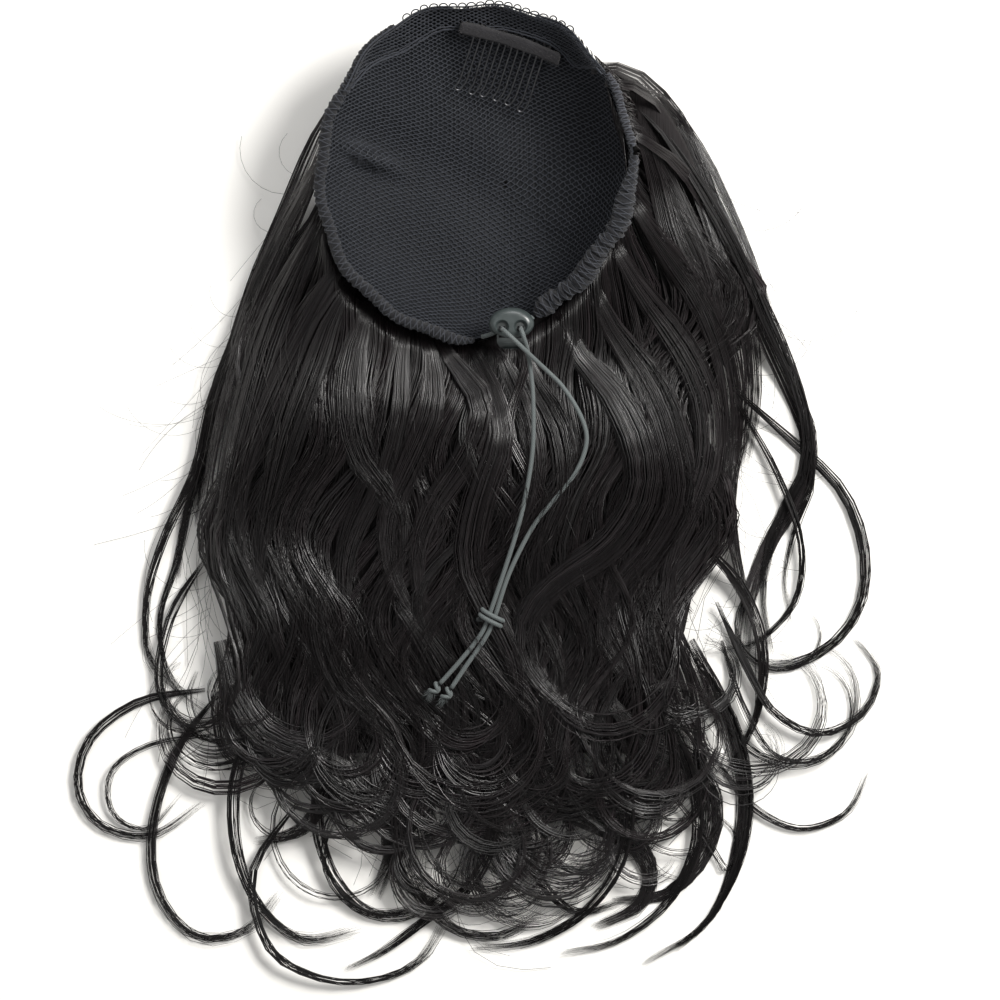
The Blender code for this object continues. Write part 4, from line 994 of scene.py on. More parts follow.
@dataclass
class RimBand:
    """A casing that runs along the rim, gathered and wrapped with net thread."""

    name: str
    node: str
    start: float
    end: float
    radius: float
    gathers: int
    gather_depth: float
    wraps: int
    wrap_pitch: float
    wrap_radius: float
    bowl: Bowl
    cloth: WovenTape
    wrap: SpunThread

    def radius_at(self, share: np.ndarray, angle: np.ndarray) -> np.ndarray:
        """The band's radius with its gathers, pinched now and then."""
        phase = TURN * self.gathers * share
        uneven = 0.9 * np.sin(2.3 * phase / self.gathers * TURN)
        folds = np.abs(np.sin(phase / 2 + 0.6 * np.sin(angle) + uneven))
        ends = 0.42 + 0.58 * smoothstep(share * 14) * smoothstep((1 - share) * 4)
        slow = 0.06 * np.sin(TURN * 3.1 * share + 1.0)
        return self.radius * ends * (1 + self.gather_depth * (1.5 * folds - 1) + slow)

    def line(self, share: np.ndarray) -> tuple:
        """The middle line with its side and rise vectors."""
        degrees = self.start + (self.end - self.start) * share
        before, middle, after = (self.bowl.rim(degrees + step, self.bowl.wall / 2) for step in (-1, 0, 1))
        ahead = unit((after - before) * math.copysign(1.0, self.end - self.start))
        return middle, *section_axes(ahead)

    def build(self) -> None:
        """Makes the gathered casing and the threads wrapped round it."""
        rows, sides = 9 * self.gathers, 20
        share = np.linspace(0, 1, rows)
        middle, side, rise = self.line(share)
        angle = np.arange(sides) * TURN / sides
        radius = self.radius_at(share[:, None], angle[None, :]) * CLOTH_SHARE
        points = middle[:, None] + radius[..., None] * (
            np.cos(angle)[None, :, None] * side[:, None] + np.sin(angle)[None, :, None] * rise[:, None]
        )
        faces = grid_faces(rows, sides, closed=True)[:, ::-1]
        length = np.linalg.norm(np.diff(middle, axis=0), axis=1).sum()
        v, u = np.divmod(np.arange(len(faces)), sides)
        size = np.array([TURN * self.radius / sides, length / rows])
        steps = ((0, 1), (1, 1), (1, 0), (0, 0))
        corners = np.stack([np.stack([u + a, v + b], -1) * size for a, b in steps], 1)
        pile = MeshPile()
        pile.add(points.reshape(-1, 3), faces, corners)
        for ring, flip in ((points[0], True), (points[-1], False)):
            hub = ring.mean(0, keepdims=True)
            k = np.arange(sides)
            fan = np.stack([k, (k + 1) % sides, np.full(sides, sides)], -1)
            pile.add(np.concatenate([ring, hub]), fan if flip else fan[:, ::-1], np.zeros((sides, 3, 2)))
        dress(pile.make(self.name, self.cloth.make()), ROOT, "casing_cloth", self.node)
        self.build_wraps(length)

    def build_wraps(self, length: float) -> None:
        """The overcast threads, wound both ways along the band."""
        pile = MeshPile()
        rng = np.random.default_rng(len(self.name))
        turns = length / self.wrap_pitch
        count = int(turns * 14)
        share = np.linspace(0.004, 0.996, count)
        middle, side, rise = self.line(share)
        for k in range(self.wraps):
            sense = 1 if k % 2 == 0 else -1
            drift = np.interp(share, np.linspace(0, 1, 24), rng.normal(0, 0.5, 24))
            angle = sense * TURN * turns * share + TURN * k / self.wraps + drift
            radius = self.radius_at(share, angle) * CLOTH_SHARE + self.wrap_radius * 0.6
            line = middle + radius[:, None] * (np.cos(angle)[:, None] * side + np.sin(angle)[:, None] * rise)
            pile.tube(line, self.wrap_radius, 4)
        dress(pile.make(self.name + "_wraps", self.wrap.make()), ROOT, "casing_cloth")


@dataclass
class Comb:
    """The comb: a cloth covered bar and one bent wire with six narrow teeth."""

    bowl: Bowl
    centre: tuple = (14 * MM, 195 * MM)
    length: float = 45 * MM
    width: float = 5.4 * MM
    thickness: float = 3.2 * MM
    slant: float = math.radians(-18)
    bow: float = 1.6 * MM
    tilt: float = math.radians(30)
    seat: float = 1.4 * MM
    wire: float = 0.31 * MM
    teeth: int = 6
    pitch: float = 5.6 * MM
    gap: float = 2.8 * MM
    reach: float = 27.5 * MM
    kink: float = 1.1 * MM
    edge: float = 1.35 * MM
    cuts: int = 33
    fibres: int = 420

    def point(self, across: np.ndarray, out: np.ndarray, lift: np.ndarray) -> np.ndarray:
        """Places on the comb: along its bar, out towards the teeth's tips, and off the hem."""
        across, out, lift = np.broadcast_arrays(*(np.asarray(v, float) for v in (across, out, lift)))
        bow = self.bow * (1 - (2 * across / self.length) ** 2)
        c, s = math.cos(self.slant), math.sin(self.slant)
        x = self.centre[0] + c * across - s * bow
        y = self.centre[1] + s * across + c * bow
        z = self.bowl.height_at(x, y, -1.2 * MM)
        way = np.array([s * math.cos(self.tilt), -c * math.cos(self.tilt), -math.sin(self.tilt)])
        normal = np.array([s * math.sin(self.tilt), -c * math.sin(self.tilt), math.cos(self.tilt)])
        base = np.stack([x, y, z], -1)
        return base + way * out[..., None] + normal * (self.thickness / 2 + self.seat + lift)[..., None]

    def build(self) -> None:
        """Makes the bar and the teeth."""
        self.build_bar()
        self.build_teeth()

    def build_bar(self) -> None:
        """The bar: a block, cut, bevelled and laid along the hem, with the cloth's fuzz."""
        deselect()
        bpy.ops.mesh.primitive_cube_add(size=1, location=(0, 0, 0))
        bar = bpy.context.object
        bar.name = "cloth_bar"
        bpy.ops.object.mode_set(mode="EDIT")
        bpy.ops.mesh.select_all(action="SELECT")
        bpy.ops.transform.resize(value=(self.length, self.width, self.thickness))
        bpy.ops.mesh.bevel(offset=self.edge, segments=4, affect="EDGES")
        bpy.ops.object.mode_set(mode="OBJECT")
        for cut in np.linspace(-0.48, 0.48, self.cuts):
            bpy.ops.object.mode_set(mode="EDIT")
            bpy.ops.mesh.select_all(action="SELECT")
            bpy.ops.mesh.bisect(plane_co=(cut * self.length, 0, 0), plane_no=(1, 0, 0))
            bpy.ops.object.mode_set(mode="OBJECT")
        rest = np.array([v.co for v in bar.data.vertices])
        rng = np.random.default_rng(8)
        lumps = np.interp(rest[:, 0], np.linspace(-0.5, 0.5, 30) * self.length, rng.normal(0, 0.1, 30)) * MM
        sag = 1 + 0.05 * np.sin(rest[:, 0] / (3.1 * MM))
        laid = self.point(rest[:, 0], -rest[:, 1] * sag + lumps, rest[:, 2] * sag)
        uvs = {v.index: (rest[v.index, 0], rest[v.index, 1] + rest[v.index, 2]) for v in bar.data.vertices}
        bar.data.vertices.foreach_set("co", laid.astype(np.float32).ravel())
        layer = bar.data.uv_layers.active or bar.data.uv_layers.new(name="UVMap")
        for loop in bar.data.loops:
            layer.data[loop.index].uv = uvs[loop.vertex_index]
        bar.data.shade_smooth()
        bar.data.update()
        cloth = WovenTape(
            name="cotton comb tape", dark="18171a", light="343336", thread=0.85 * MM, strength=1.0
        )
        bar.data.materials.append(cloth.make())
        dress(bar, ROOT, "comb_cloth", "comb_bar")
        pile = MeshPile()
        for _ in range(self.fibres):
            a = rng.uniform(-0.5, 0.5) * self.length
            turn = rng.uniform(0, TURN)
            out, lift = self.width / 2 * math.cos(turn), self.thickness / 2 * math.sin(turn)
            far = rng.uniform(0.35, 1.1) * MM
            lean = rng.normal(0, 0.7, 3) * MM
            steps = np.linspace(0, 1, 4)
            line = self.point(
                a + lean[0] * steps, out + (math.cos(turn) * far + lean[1]) * steps,
                lift + (math.sin(turn) * far + 0.2 * lean[2]) * steps,
            )
            pile.tube(line, np.linspace(0.07, 0.03, 4) * MM, 3)
        fuzz = SpunThread(name="cotton fuzz", dark="302e30", light="575557")
        dress(pile.make("cloth_bar_fuzz", fuzz.make()), ROOT, "comb_cloth")

    def build_teeth(self) -> None:
        """The wire: down one leg, round the tip, up the other and on to the next tooth."""
        top = self.width / 2 - 1.9 * MM
        tip = self.width / 2 + self.reach
        rng = np.random.default_rng(4)
        route = []
        for tooth in range(self.teeth):
            middle = (tooth - (self.teeth - 1) / 2) * self.pitch
            left, right = middle - self.gap / 2, middle + self.gap / 2
            sway = rng.normal(0, 0.22) * MM
            down = rng.normal(0, 0.5) * MM
            bend, low = sway - self.kink, tip + down
            route += [
                (left - 0.1 * self.gap, top), (left, top + 1.4 * MM), (left + 0.3 * sway, (top + tip) / 2),
                (left + sway, tip - 6 * MM), (left + sway - self.kink * 0.5, low - 3.2 * MM),
                (left + bend, low - 1.4 * MM), (left + bend + 0.45 * MM, low - 0.35 * MM),
                (middle + bend, low),
                (right + bend - 0.45 * MM, low - 0.35 * MM), (right + bend, low - 1.4 * MM),
                (right + sway - self.kink * 0.5, low - 3.2 * MM), (right + sway, tip - 6 * MM),
                (right + 0.3 * sway, (top + tip) / 2), (right, top + 1.4 * MM), (right + 0.1 * self.gap, top),
            ]
        flat = catmull(np.asarray(route), 720)
        pile = MeshPile()
        pile.tube(self.point(flat[:, 0], flat[:, 1], 0 * flat[:, 0]), self.wire, 6)
        dress(pile.make("comb_wire", LacqueredWire().make()), ROOT, "comb_wire", "comb_teeth")


@dataclass
class CordLock:
    """The oval two-hole cord lock and the spring button that pinches the cords."""

    centre: tuple = (14.3 * MM, 74 * MM, 50.5 * MM)
    size: tuple = (19.4 * MM, 13.5 * MM, 8 * MM)
    round_edge: float = 3.3 * MM
    hole_spacing: float = 8 * MM
    hole_radius: float = 2.15 * MM
    hole_shift: float = -1.5 * MM
    button_width: float = 12.4 * MM
    button_thickness: float = 4.2 * MM
    button_reach: float = 4.1 * MM
    travel: float = 2.5 * MM
    wall: float = 2.6 * MM
    slack: float = 0.3 * MM
    cord_radius: float = 0.95 * MM
    dish_mm: float = 0.35
    ribs: int = 3
    rib_pitch_mm: float = 0.95
    rib_inset: float = 2.8 * MM
    flare: tuple = (
        (-5.2, 1.9), (-3.7, 1.34), (-3.15, 1.1), (-2.6, 1.0),
        (2.6, 1.0), (3.15, 1.1), (3.7, 1.34), (5.2, 1.9),
    )

    def build(self) -> None:
        """Makes the body and the button."""
        self.build_body()
        self.build_button()

    def hole_cutter(self, side: int) -> bpy.types.Object:
        """A round cutter that flares at both faces, drawn out ring by ring."""
        x, y, z = self.centre
        low, wide = self.flare[0]
        deselect()
        bpy.ops.mesh.primitive_circle_add(
            vertices=48, radius=self.hole_radius * wide, fill_type="NGON",
            location=(x + side * self.hole_spacing / 2, y + self.hole_shift, z + low * MM),
        )
        cutter = bpy.context.object
        bpy.ops.object.mode_set(mode="EDIT")
        bpy.ops.mesh.select_all(action="SELECT")
        for (low, wide), (high, wider) in zip(self.flare, self.flare[1:]):
            bpy.ops.mesh.extrude_region_move(TRANSFORM_OT_translate={"value": (0, 0, (high - low) * MM)})
            bpy.ops.transform.resize(value=(wider / wide, wider / wide, 1))
        bpy.ops.mesh.select_all(action="SELECT")
        bpy.ops.mesh.normals_make_consistent(inside=False)
        bpy.ops.object.mode_set(mode="OBJECT")
        return cutter

    def cut(self, piece: bpy.types.Object, cutter: bpy.types.Object) -> None:
        """Cuts one piece with a cutter and removes the cutter."""
        modifier = piece.modifiers.new("cut", "BOOLEAN")
        modifier.operation = "DIFFERENCE"
        modifier.solver = "EXACT"
        modifier.object = cutter
        apply_modifiers(piece)
        bpy.data.objects.remove(cutter, do_unlink=True)

    def round_edges(self, piece: bpy.types.Object, width: float, segments: int) -> None:
        """Rounds a piece's sharp edges."""
        bevel = piece.modifiers.new("round", "BEVEL")
        bevel.width = width
        bevel.segments = segments
        bevel.limit_method = "ANGLE"
        bevel.angle_limit = math.radians(50)
        apply_modifiers(piece)

    def finish(self, piece: bpy.types.Object, plastic: MouldedPlastic, degrees: float) -> None:
        """Shades a piece smooth up to an angle and gives it its plastic."""
        select_only(piece)
        bpy.ops.object.shade_smooth_by_angle(angle=math.radians(degrees))
        piece.data.materials.clear()
        piece.data.materials.append(plastic.make())

    def block(self, low: tuple, high: tuple) -> bpy.types.Object:
        """A block between two corners measured from the lock's middle."""
        place = [(a + b) / 2 + c for a, b, c in zip(low, high, self.centre)]
        deselect()
        bpy.ops.mesh.primitive_cube_add(size=1, location=place)
        piece = bpy.context.object
        piece.scale = [b - a for a, b in zip(low, high)]
        return settle(piece)

    def build_body(self) -> None:
        """The body: an oval drum with a full round edge, then the pocket and the two flared holes."""
        deselect()
        bpy.ops.mesh.primitive_cylinder_add(vertices=96, radius=0.5, depth=1, location=self.centre)
        body = bpy.context.object
        body.name = "lock_body"
        body.scale = self.size
        settle(body)
        self.round_edges(body, self.round_edge, 9)
        rest = np.array([v.co for v in body.data.vertices]) - np.asarray(self.centre)
        dome = 1 - (rest[:, 0] / (self.size[0] / 2)) ** 2 * 0.5 - (rest[:, 1] / (self.size[1] / 2)) ** 2 * 0.5
        rest[:, 2] -= np.sign(rest[:, 2]) * self.dish_mm * MM * (1 - dome)
        body.data.vertices.foreach_set("co", (rest + np.asarray(self.centre)).astype(np.float32).ravel())
        half_w, half_t = self.button_width / 2 + self.slack, self.button_thickness / 2 + self.slack
        pocket_end = self.size[1] / 2 - self.wall
        self.cut(body, self.block((-half_w, -self.size[1], -half_t), (half_w, pocket_end, half_t)))
        for side in (-1, 1):
            self.cut(body, self.hole_cutter(side))
        self.finish(body, MouldedPlastic(), 38)
        dress(body, ROOT, "toggle_plastic", "toggle_body")

    def build_button(self) -> None:
        """The button: a tongue with rounded outer corners, grip ribs and a slot for each cord."""
        half, thick = self.button_width / 2, self.button_thickness / 2
        inner = self.size[1] / 2 - self.wall - self.slack - self.travel
        outer = -self.size[1] / 2 - self.button_reach
        button = self.block((-half, outer, -thick), (half, inner, thick))
        button.name = "lock_button"
        bpy.ops.object.mode_set(mode="EDIT")
        bpy.ops.mesh.select_all(action="DESELECT")
        bpy.ops.object.mode_set(mode="OBJECT")
        edge_y = outer + self.centre[1]
        for edge in button.data.edges:
            a, b = (button.data.vertices[i].co for i in edge.vertices)
            edge.select = abs(a.y - edge_y) < 1e-5 and abs(b.y - edge_y) < 1e-5 and abs(a.x - b.x) < 1e-6
        bpy.ops.object.mode_set(mode="EDIT")
        bpy.ops.mesh.select_mode(type="EDGE")
        bpy.ops.mesh.bevel(offset=3.6 * MM, segments=10, affect="EDGES")
        bpy.ops.object.mode_set(mode="OBJECT")
        self.round_edges(button, 0.45 * MM, 3)
        rest_y = self.hole_shift - (self.hole_radius - self.cord_radius - self.slack)
        far = rest_y + self.cord_radius + self.slack
        near = rest_y - self.cord_radius - self.slack - self.travel
        slot = self.cord_radius + 1.5 * self.slack
        for side in (-1, 1):
            middle = side * self.hole_spacing / 2
            self.cut(button, self.block((middle - slot, near, -2 * thick), (middle + slot, far, 2 * thick)))
        ridge = half - self.rib_inset
        for rib in range(self.ribs):
            low = outer + (0.75 + rib * self.rib_pitch_mm) * MM
            groove = self.block((-ridge, low, thick - 0.22 * MM), (ridge, low + 0.45 * MM, 2 * thick))
            self.cut(button, groove)
        # The button's plastic is a darker copy of the body's: painted shade for the body's shadow on the
        # recessed button.
        plastic = MouldedPlastic(name="satin moulded button darkened as painted shade", base="1f2323", worn="303636", roughness=0.4)
        self.finish(button, plastic, 35)
        dress(button, PLUNGER, "plunger_plastic", "toggle_plunger")


class Layer(Enum):
    """How deep in the mass of hair a strand lies."""

    DEEP = 0.72
    MIDDLE = 0.86
    TOP = 1.0


@dataclass
class Tuft:
    """One lock of hair, read from the photograph: its route in pixels, its width and how many strands."""

    route: tuple
    width: float
    strands: int
    thick: float = 0.19
    lift: float = 1.0
    spread: float = 0.72


@dataclass
class Hair:
    """The long wavy hair: packed backing, deep strands, the locks that show, curls and flyaways."""

    bowl: Bowl
    length: float = 400 * MM
    width: float = 350 * MM
    top_y: float = 188 * MM
    height: float = 48 * MM
    mane: tuple = (
        (0.011, -0.190, 0.360, 0.25), (0.054, -0.330, 0.450, 0.75), (0.097, -0.385, 0.520, 0.90),
        (0.151, -0.465, 0.590, 0.92), (0.215, -0.540, 0.665, 0.90), (0.290, -0.600, 0.710, 0.73),
        (0.366, -0.650, 0.655, 0.90), (0.419, -0.670, 0.620, 0.87), (0.495, -0.690, 0.640, 0.78),
        (0.548, -0.690, 0.620, 0.67), (0.602, -0.690, 0.590, 0.58), (0.667, -0.680, 0.575, 0.49),
        (0.731, -0.640, 0.585, 0.42), (0.785, -0.570, 0.545, 0.28), (0.817, -0.500, 0.480, 0.16),
        (0.900, -0.420, 0.420, 0.10),
    )
    left_px: tuple = (
        (60, 395), (100, 345), (140, 322), (173, 312), (200, 287), (233, 267), (287, 247), (340, 227),
        (393, 210),
        (453, 203), (493, 193), (533, 190), (600, 200), (640, 192), (690, 188), (730, 205), (780, 225),
        (850, 250),
        (940, 285),
    )
    right_px: tuple = (
        (60, 622), (80, 650), (107, 673), (133, 687), (167, 707), (207, 727), (247, 747), (287, 767),
        (333, 773),
        (367, 745), (400, 738), (433, 730), (480, 735), (527, 745), (567, 733), (600, 722), (667, 713),
        (707, 710),
        (760, 725), (800, 730), (850, 715), (940, 675),
    )
    start_px: tuple = (
        (0.00, 330, 130), (0.06, 322, 180), (0.12, 326, 240), (0.20, 345, 290), (0.30, 395, 327),
        (0.42, 455, 345), (0.52, 500, 348), (0.62, 548, 320), (0.70, 583, 288), (0.78, 608, 247),
        (0.86, 627, 185), (0.93, 621, 132), (1.00, 606, 90),
    )
    # Axis, edge, room past it and sense: the photograph's hair ends at these edges, in pixels.
    edges_px: tuple = ((1, 938, 50, 1), (0, 122, 46, -1), (0, 834, 44, 1))
    # Layer, locks, strands in each, points down the fall and round the hook, how many pixels sooner
    # the locks end, and the strands' radii in millimetres.
    layers: tuple = (
        (Layer.DEEP, 42, 12, 16, 4, 120, (0.45, 0.65)),
        (Layer.MIDDLE, 44, 14, 21, 12, 42, (0.25, 0.40)),
        (Layer.TOP, 43, 15, 28, 15, 0, (0.17, 0.28)),
    )
    # The whole locks, in pixels: where the longest end, how far the outer ones stay behind, the spread of
    # the ends, how soon the locks reach their own place, the waves, and the curled ends with their degrees.
    end_px: float = 828
    end_bow_px: float = 100
    end_spread_px: tuple = (-80, 48)
    settle_px: float = 150
    sway_px: tuple = (22, 38)
    wave_px: tuple = (212, 240)
    hook_px: tuple = (30, 74)
    hook_degrees: tuple = (130, 290)
    swell_height: float = 4.0 * MM
    swell_length: float = 94 * MM
    table_gap: float = 0.35 * MM
    rim_drop: float = 6.5 * MM
    rim_fall: float = 42 * MM
    core_ends: tuple = (0.105, 0.745)
    crown_shares: tuple = (0.40, 0.975)
    crown_thickness: float = 8.4 * MM
    crown_right: float = 9 * MM
    crown_left: float = 5 * MM
    crown_strands: int = 560
    fringe_hooks: int = 34
    side_hairs: int = 46

    def surface(self, x: np.ndarray, y: np.ndarray) -> np.ndarray:
        """The height of the mass of hair at places seen from above."""
        table = np.asarray(self.mane)
        along = (self.top_y - y) / self.length
        left, right, high = (np.interp(along, table[:, 0], table[:, k]) for k in (1, 2, 3))
        share = (x - left * self.width / 2) / ((right - left) * self.width / 2)
        mound = np.sqrt(np.clip(1 - np.abs(2 * share - 1) ** 3, 0, 1))
        inside = (along >= table[0, 0]) & (along <= table[-1, 0])
        return np.where(inside, high * self.height * mound, 0.0)

    def lay(self, plan: np.ndarray, layer: np.ndarray, lift: np.ndarray, rim_start: bool) -> np.ndarray:
        """Lays flat routes over the mass of hair and down on to the table.

        Args:
            plan: strands by points by x and y, in metres.
            layer: each strand's depth as a share of the surface's height.
            lift: how far over the surface each point is.
            rim_start: whether the strands begin under the cap's rim.

        Returns:
            Strands by points by x, y and z.
        """
        x, y = plan[..., 0], plan[..., 1]
        high = self.surface(x, y) * layer[:, None]
        across = 1.8 * np.sin(x / (31 * MM)) + 0.9 * np.sin(x / (13 * MM) + y / (60 * MM))
        swell = np.sin(TURN * y / self.swell_length + across)
        below = smoothstep(high / (16 * MM)) * smoothstep((70 * MM - y) / (30 * MM))
        high = high + self.swell_height * swell * below
        z = np.maximum(high + lift, 0.5 * MM + 0.35 * np.maximum(lift, 0))
        for _ in range(3):
            z[:, 1:-1] = (z[:, :-2] + z[:, 1:-1] + z[:, 2:]) / 3
        if rim_start:
            degrees, _ = self.bowl.place(x[:, 0], y[:, 0])
            edge = self.bowl.top * self.bowl.around(self.bowl.height, degrees) - self.rim_drop
            start = edge * (0.82 + 0.18 * layer) + lift[:, 0] * 0.3
            steps = np.hypot(np.diff(x, axis=1), np.diff(y, axis=1))
            gone = np.concatenate([np.zeros((len(x), 1)), np.cumsum(steps, axis=1)], axis=1)
            ease = smoothstep(gone / self.rim_fall)
            z = start[:, None] * (1 - ease) + z * ease
        return np.stack([x, y, np.maximum(z, self.table_gap)], -1)

    def taper(self, points: int, root: float, swell: float, fall: float, tip: float) -> np.ndarray:
        """How a strand's radius goes along it.

        Args:
            points: points along the strand.
            root: its share of the full radius at the root.
            swell: how fast it fills out.
            fall: how late it thins.
            tip: its share at the tip.

        Returns:
            Shares of the full radius.
        """
        t = np.linspace(0, 1, points)
        return np.clip(root + swell * t, 0, 1) * np.clip((1 - t) * fall, tip, 1)

    def strands(self, name: str, paths: np.ndarray, thick: np.ndarray, tones: np.ndarray, material) -> None:
        """Makes one object of many tapered strands."""
        pile = MeshPile()
        taper = self.taper(paths.shape[1], 0.45, 9, 4.5, 0.14)
        for path, radius, tone in zip(paths, thick, tones):
            pile.tube(path, radius * taper, 3, tone)
        dress(pile.make(name, material), ROOT, "hair")

    def flow(
        self, rng: np.random.Generator, locks: int, per_lock: int, points: int, hook: int, early: float
    ) -> tuple:
        """Whole locks from the rim to their curled ends, side by side and waving together.

        Args:
            rng: the random numbers.
            locks: how many locks.
            per_lock: strands in each.
            points: points along the fall.
            hook: points along the curled end.
            early: how much sooner these locks end than the longest, in pixels.

        Returns:
            Strands by points by x and y in pixels, and each strand's place across its lock from -1 to 1.
        """
        number = np.repeat(np.arange(locks), per_lock)
        within = rng.uniform(-1, 1, len(number))

        def each(low: float, high: float) -> np.ndarray:
            """One value for each lock, given to all of its strands."""
            return rng.uniform(low, high, locks)[number]

        share = ((np.arange(locks) + rng.uniform(0.1, 0.9, locks)) / locks)[number]
        starts = np.asarray(self.start_px)
        begin = np.clip(share + within * 0.6 / locks, 0, 1)
        x0, y0 = (np.interp(begin, starts[:, 0], starts[:, k])[:, None] for k in (1, 2))
        y_end = self.end_px - self.end_bow_px * np.abs(2 * share - 1) ** 2.4 - early
        y_end = y_end + each(*self.end_spread_px) + rng.normal(0, 4, len(number))
        t = np.linspace(0, 1, points)[None, :]
        y = y0 + (y_end[:, None] - y0) * t
        sides = (np.asarray(self.left_px), np.asarray(self.right_px))
        low, high = (np.interp(y, side[:, 0], side[:, 1]) for side in sides)
        half = 430 / locks * (1 - 0.5 * t)
        x = low + (high - low) * (0.04 + 0.92 * share)[:, None] + within[:, None] * half
        gone = y - y0
        ease = smoothstep(gone / self.settle_px)
        x = x0 * (1 - ease) + x * ease
        phase = 1.7 * np.sin(TURN * 1.6 * share + 0.4) + each(-0.3, 0.3)
        sway = each(*self.sway_px) * (0.5 + 0.5 * np.sin(math.pi * share))
        wave = np.sin(TURN * y / each(*self.wave_px)[:, None] + phase[:, None] + 0.9)
        x = x + sway[:, None] * smoothstep((gone - 20) / 170) * wave
        plan = np.stack([x, y], -1)
        heading = np.arctan2(plan[:, -1, 0] - plan[:, -2, 0], plan[:, -1, 1] - plan[:, -2, 1])
        way = np.where(each(0, 1) < np.where(share < 0.6, 0.78, 0.5), 1.0, -1.0)
        radius = each(*self.hook_px) - way * within * half[0, -1] + rng.normal(0, 0.7, len(number))
        full_turn = min(1.0, hook / 12)
        sweep = np.radians(each(*self.hook_degrees) * full_turn + rng.normal(0, 3, len(number))) * way
        at = plan[:, -1].copy()
        ends = []
        for step in range(1, hook + 1):
            angle = heading + sweep * (step - 0.5) / hook
            travel = np.abs(sweep) * radius * (1.15 - 0.5 * step / hook) / hook
            at = at + np.stack([np.sin(angle) * travel, np.cos(angle) * travel], -1)
            ends.append(at.copy())
        return self.hold(np.concatenate([plan, np.stack(ends, 1)], axis=1)), within

    def hold(self, plan: np.ndarray) -> np.ndarray:
        """Eases routes in pixels back inside the whole outline of the photograph's hair."""
        out = plan.copy()
        for axis, edge, room, sense in self.edges_px:
            past = np.maximum(sense * (out[..., axis] - edge), 0)
            out[..., axis] += sense * (room * np.tanh(past / room) - past)
        return out

    def tuft_paths(self, tuft: Tuft, rng: np.random.Generator, count: int) -> tuple:
        """The strands of one lock.

        Returns:
            Plan routes in metres, and how far each strand's points rise over the surface.
        """
        guide = catmull(np.asarray(tuft.route, float), count)
        ahead = unit(np.gradient(guide, axis=0))
        across = np.stack([-ahead[:, 1], ahead[:, 0]], -1)
        t = np.linspace(0, 1, count)
        profile = (0.42 + 0.58 * smoothstep(t * 4)) * (1 - tuft.spread * smoothstep((t - 0.35) / 0.65))
        a = rng.uniform(-1, 1, tuft.strands)
        a = np.sign(a) * np.abs(a) ** 0.85
        roll = 0.5 * np.sin(TURN * (t[None, :] * 1.2 + rng.uniform(0, 1)))
        place = np.clip(a[:, None] + 0.25 * roll * (1 - np.abs(a[:, None])), -1, 1)
        each = (tuft.strands, 1)
        size, speed, phase = rng.normal(0, 1.2, each), rng.uniform(0.8, 2.2, each), rng.uniform(0, 1, each)
        wave = size * np.sin(TURN * (t[None, :] * speed + phase))
        offset = place * profile[None, :] * tuft.width / 2 + wave * (0.3 + t[None, :]) * 0.7
        slide = rng.uniform(-9, 9, each) * smoothstep(t * 1.4)[None, :]
        px = guide[None] + across[None] * offset[..., None] + ahead[None] * slide[..., None]
        relief = np.sqrt(np.clip(1 - place**2, 0, 1)) * tuft.width * PIXEL * 0.42 * profile[None, :]
        depth = rng.uniform(0, 1, each) ** 2
        lift = (relief * (1 - 0.5 * depth) - 3.0 * MM) * tuft.lift
        return from_pixels(px), lift

    def build(self) -> None:
        """Makes all of the hair."""
        fibre = SyntheticFibre().make()
        self.build_core()
        self.build_crown_core()
        self.build_crown(fibre)
        self.build_base(fibre)
        self.build_tufts(fibre)
        loose = SyntheticFibre(name="fine loose fibre", light="1c1819", roughness=0.36, specular=0.28).make()
        self.build_curls(loose)
        self.build_flyaways(loose)

    def build_core(self) -> None:
        """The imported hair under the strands, which keeps the light from showing through."""
        rows, columns = 64, 44
        start, end = self.core_ends
        along = np.linspace(start, end, rows)[:, None]
        share = np.linspace(0, 1, columns)[None, :]
        table = np.asarray(self.mane)
        left, right = (np.interp(along, table[:, 0], table[:, k]) * self.width / 2 for k in (1, 2))
        fade = smoothstep((along - 0.6) / (end - 0.6))
        inset = 0.06 + 0.10 * fade
        inset_right = inset + 0.13 * smoothstep((0.3 - along) / 0.1)
        x = left + (right - left) * (inset + (1 - inset - inset_right) * share)
        y = self.top_y - along * self.length + 0 * share
        middle = (left + right) / 2
        x = middle + (x - middle) * (0.3 + 0.7 * smoothstep((along - start) / 0.11))
        pillow = np.sqrt(np.clip(1 - np.abs(2 * share - 1) ** 2.2, 0, 1)) * smoothstep((along - 0.095) / 0.11)
        z = self.surface(x, y) * (0.78 - 0.5 * fade) * pillow
        degrees, out = self.bowl.place(x, y)
        under = self.bowl.point(degrees, np.clip(out, 0, 1), 2.4 * MM)[..., 2] - 0.6 * MM
        z = np.where(out < 1.02, np.minimum(z, under), z)
        z = np.maximum(z, 0.8 * MM)
        z[[0, -1], :] = 0.8 * MM
        z[:, [0, -1]] = 0.8 * MM
        upper = np.stack([x, y, z], -1)
        lower = upper.copy()
        lower[..., 2] = 0.3 * MM
        pile = MeshPile()
        faces = grid_faces(rows, columns)
        for points, turned in ((upper, faces[:, ::-1]), (lower, faces)):
            pile.add(points.reshape(-1, 3), turned, np.zeros((len(faces), 4, 2)))
        dress(pile.make("packed_hair", FibreBacking().make()), ROOT, "hair", "hair_crown", "hair_lengths")

    def crown_swell(self, degrees: np.ndarray) -> np.ndarray:
        """How far the hair sewn round the cap stands out, fullest at the upper right and at the left."""
        right = np.exp(-(((degrees - 24 + 180) % 360 - 180) / 21) ** 2)
        left = np.exp(-(((degrees - 190 + 180) % 360 - 180) / 20) ** 2)
        cover = self.bowl.around(self.bowl.cover, degrees)
        return self.crown_thickness * cover + self.crown_right * right + self.crown_left * left

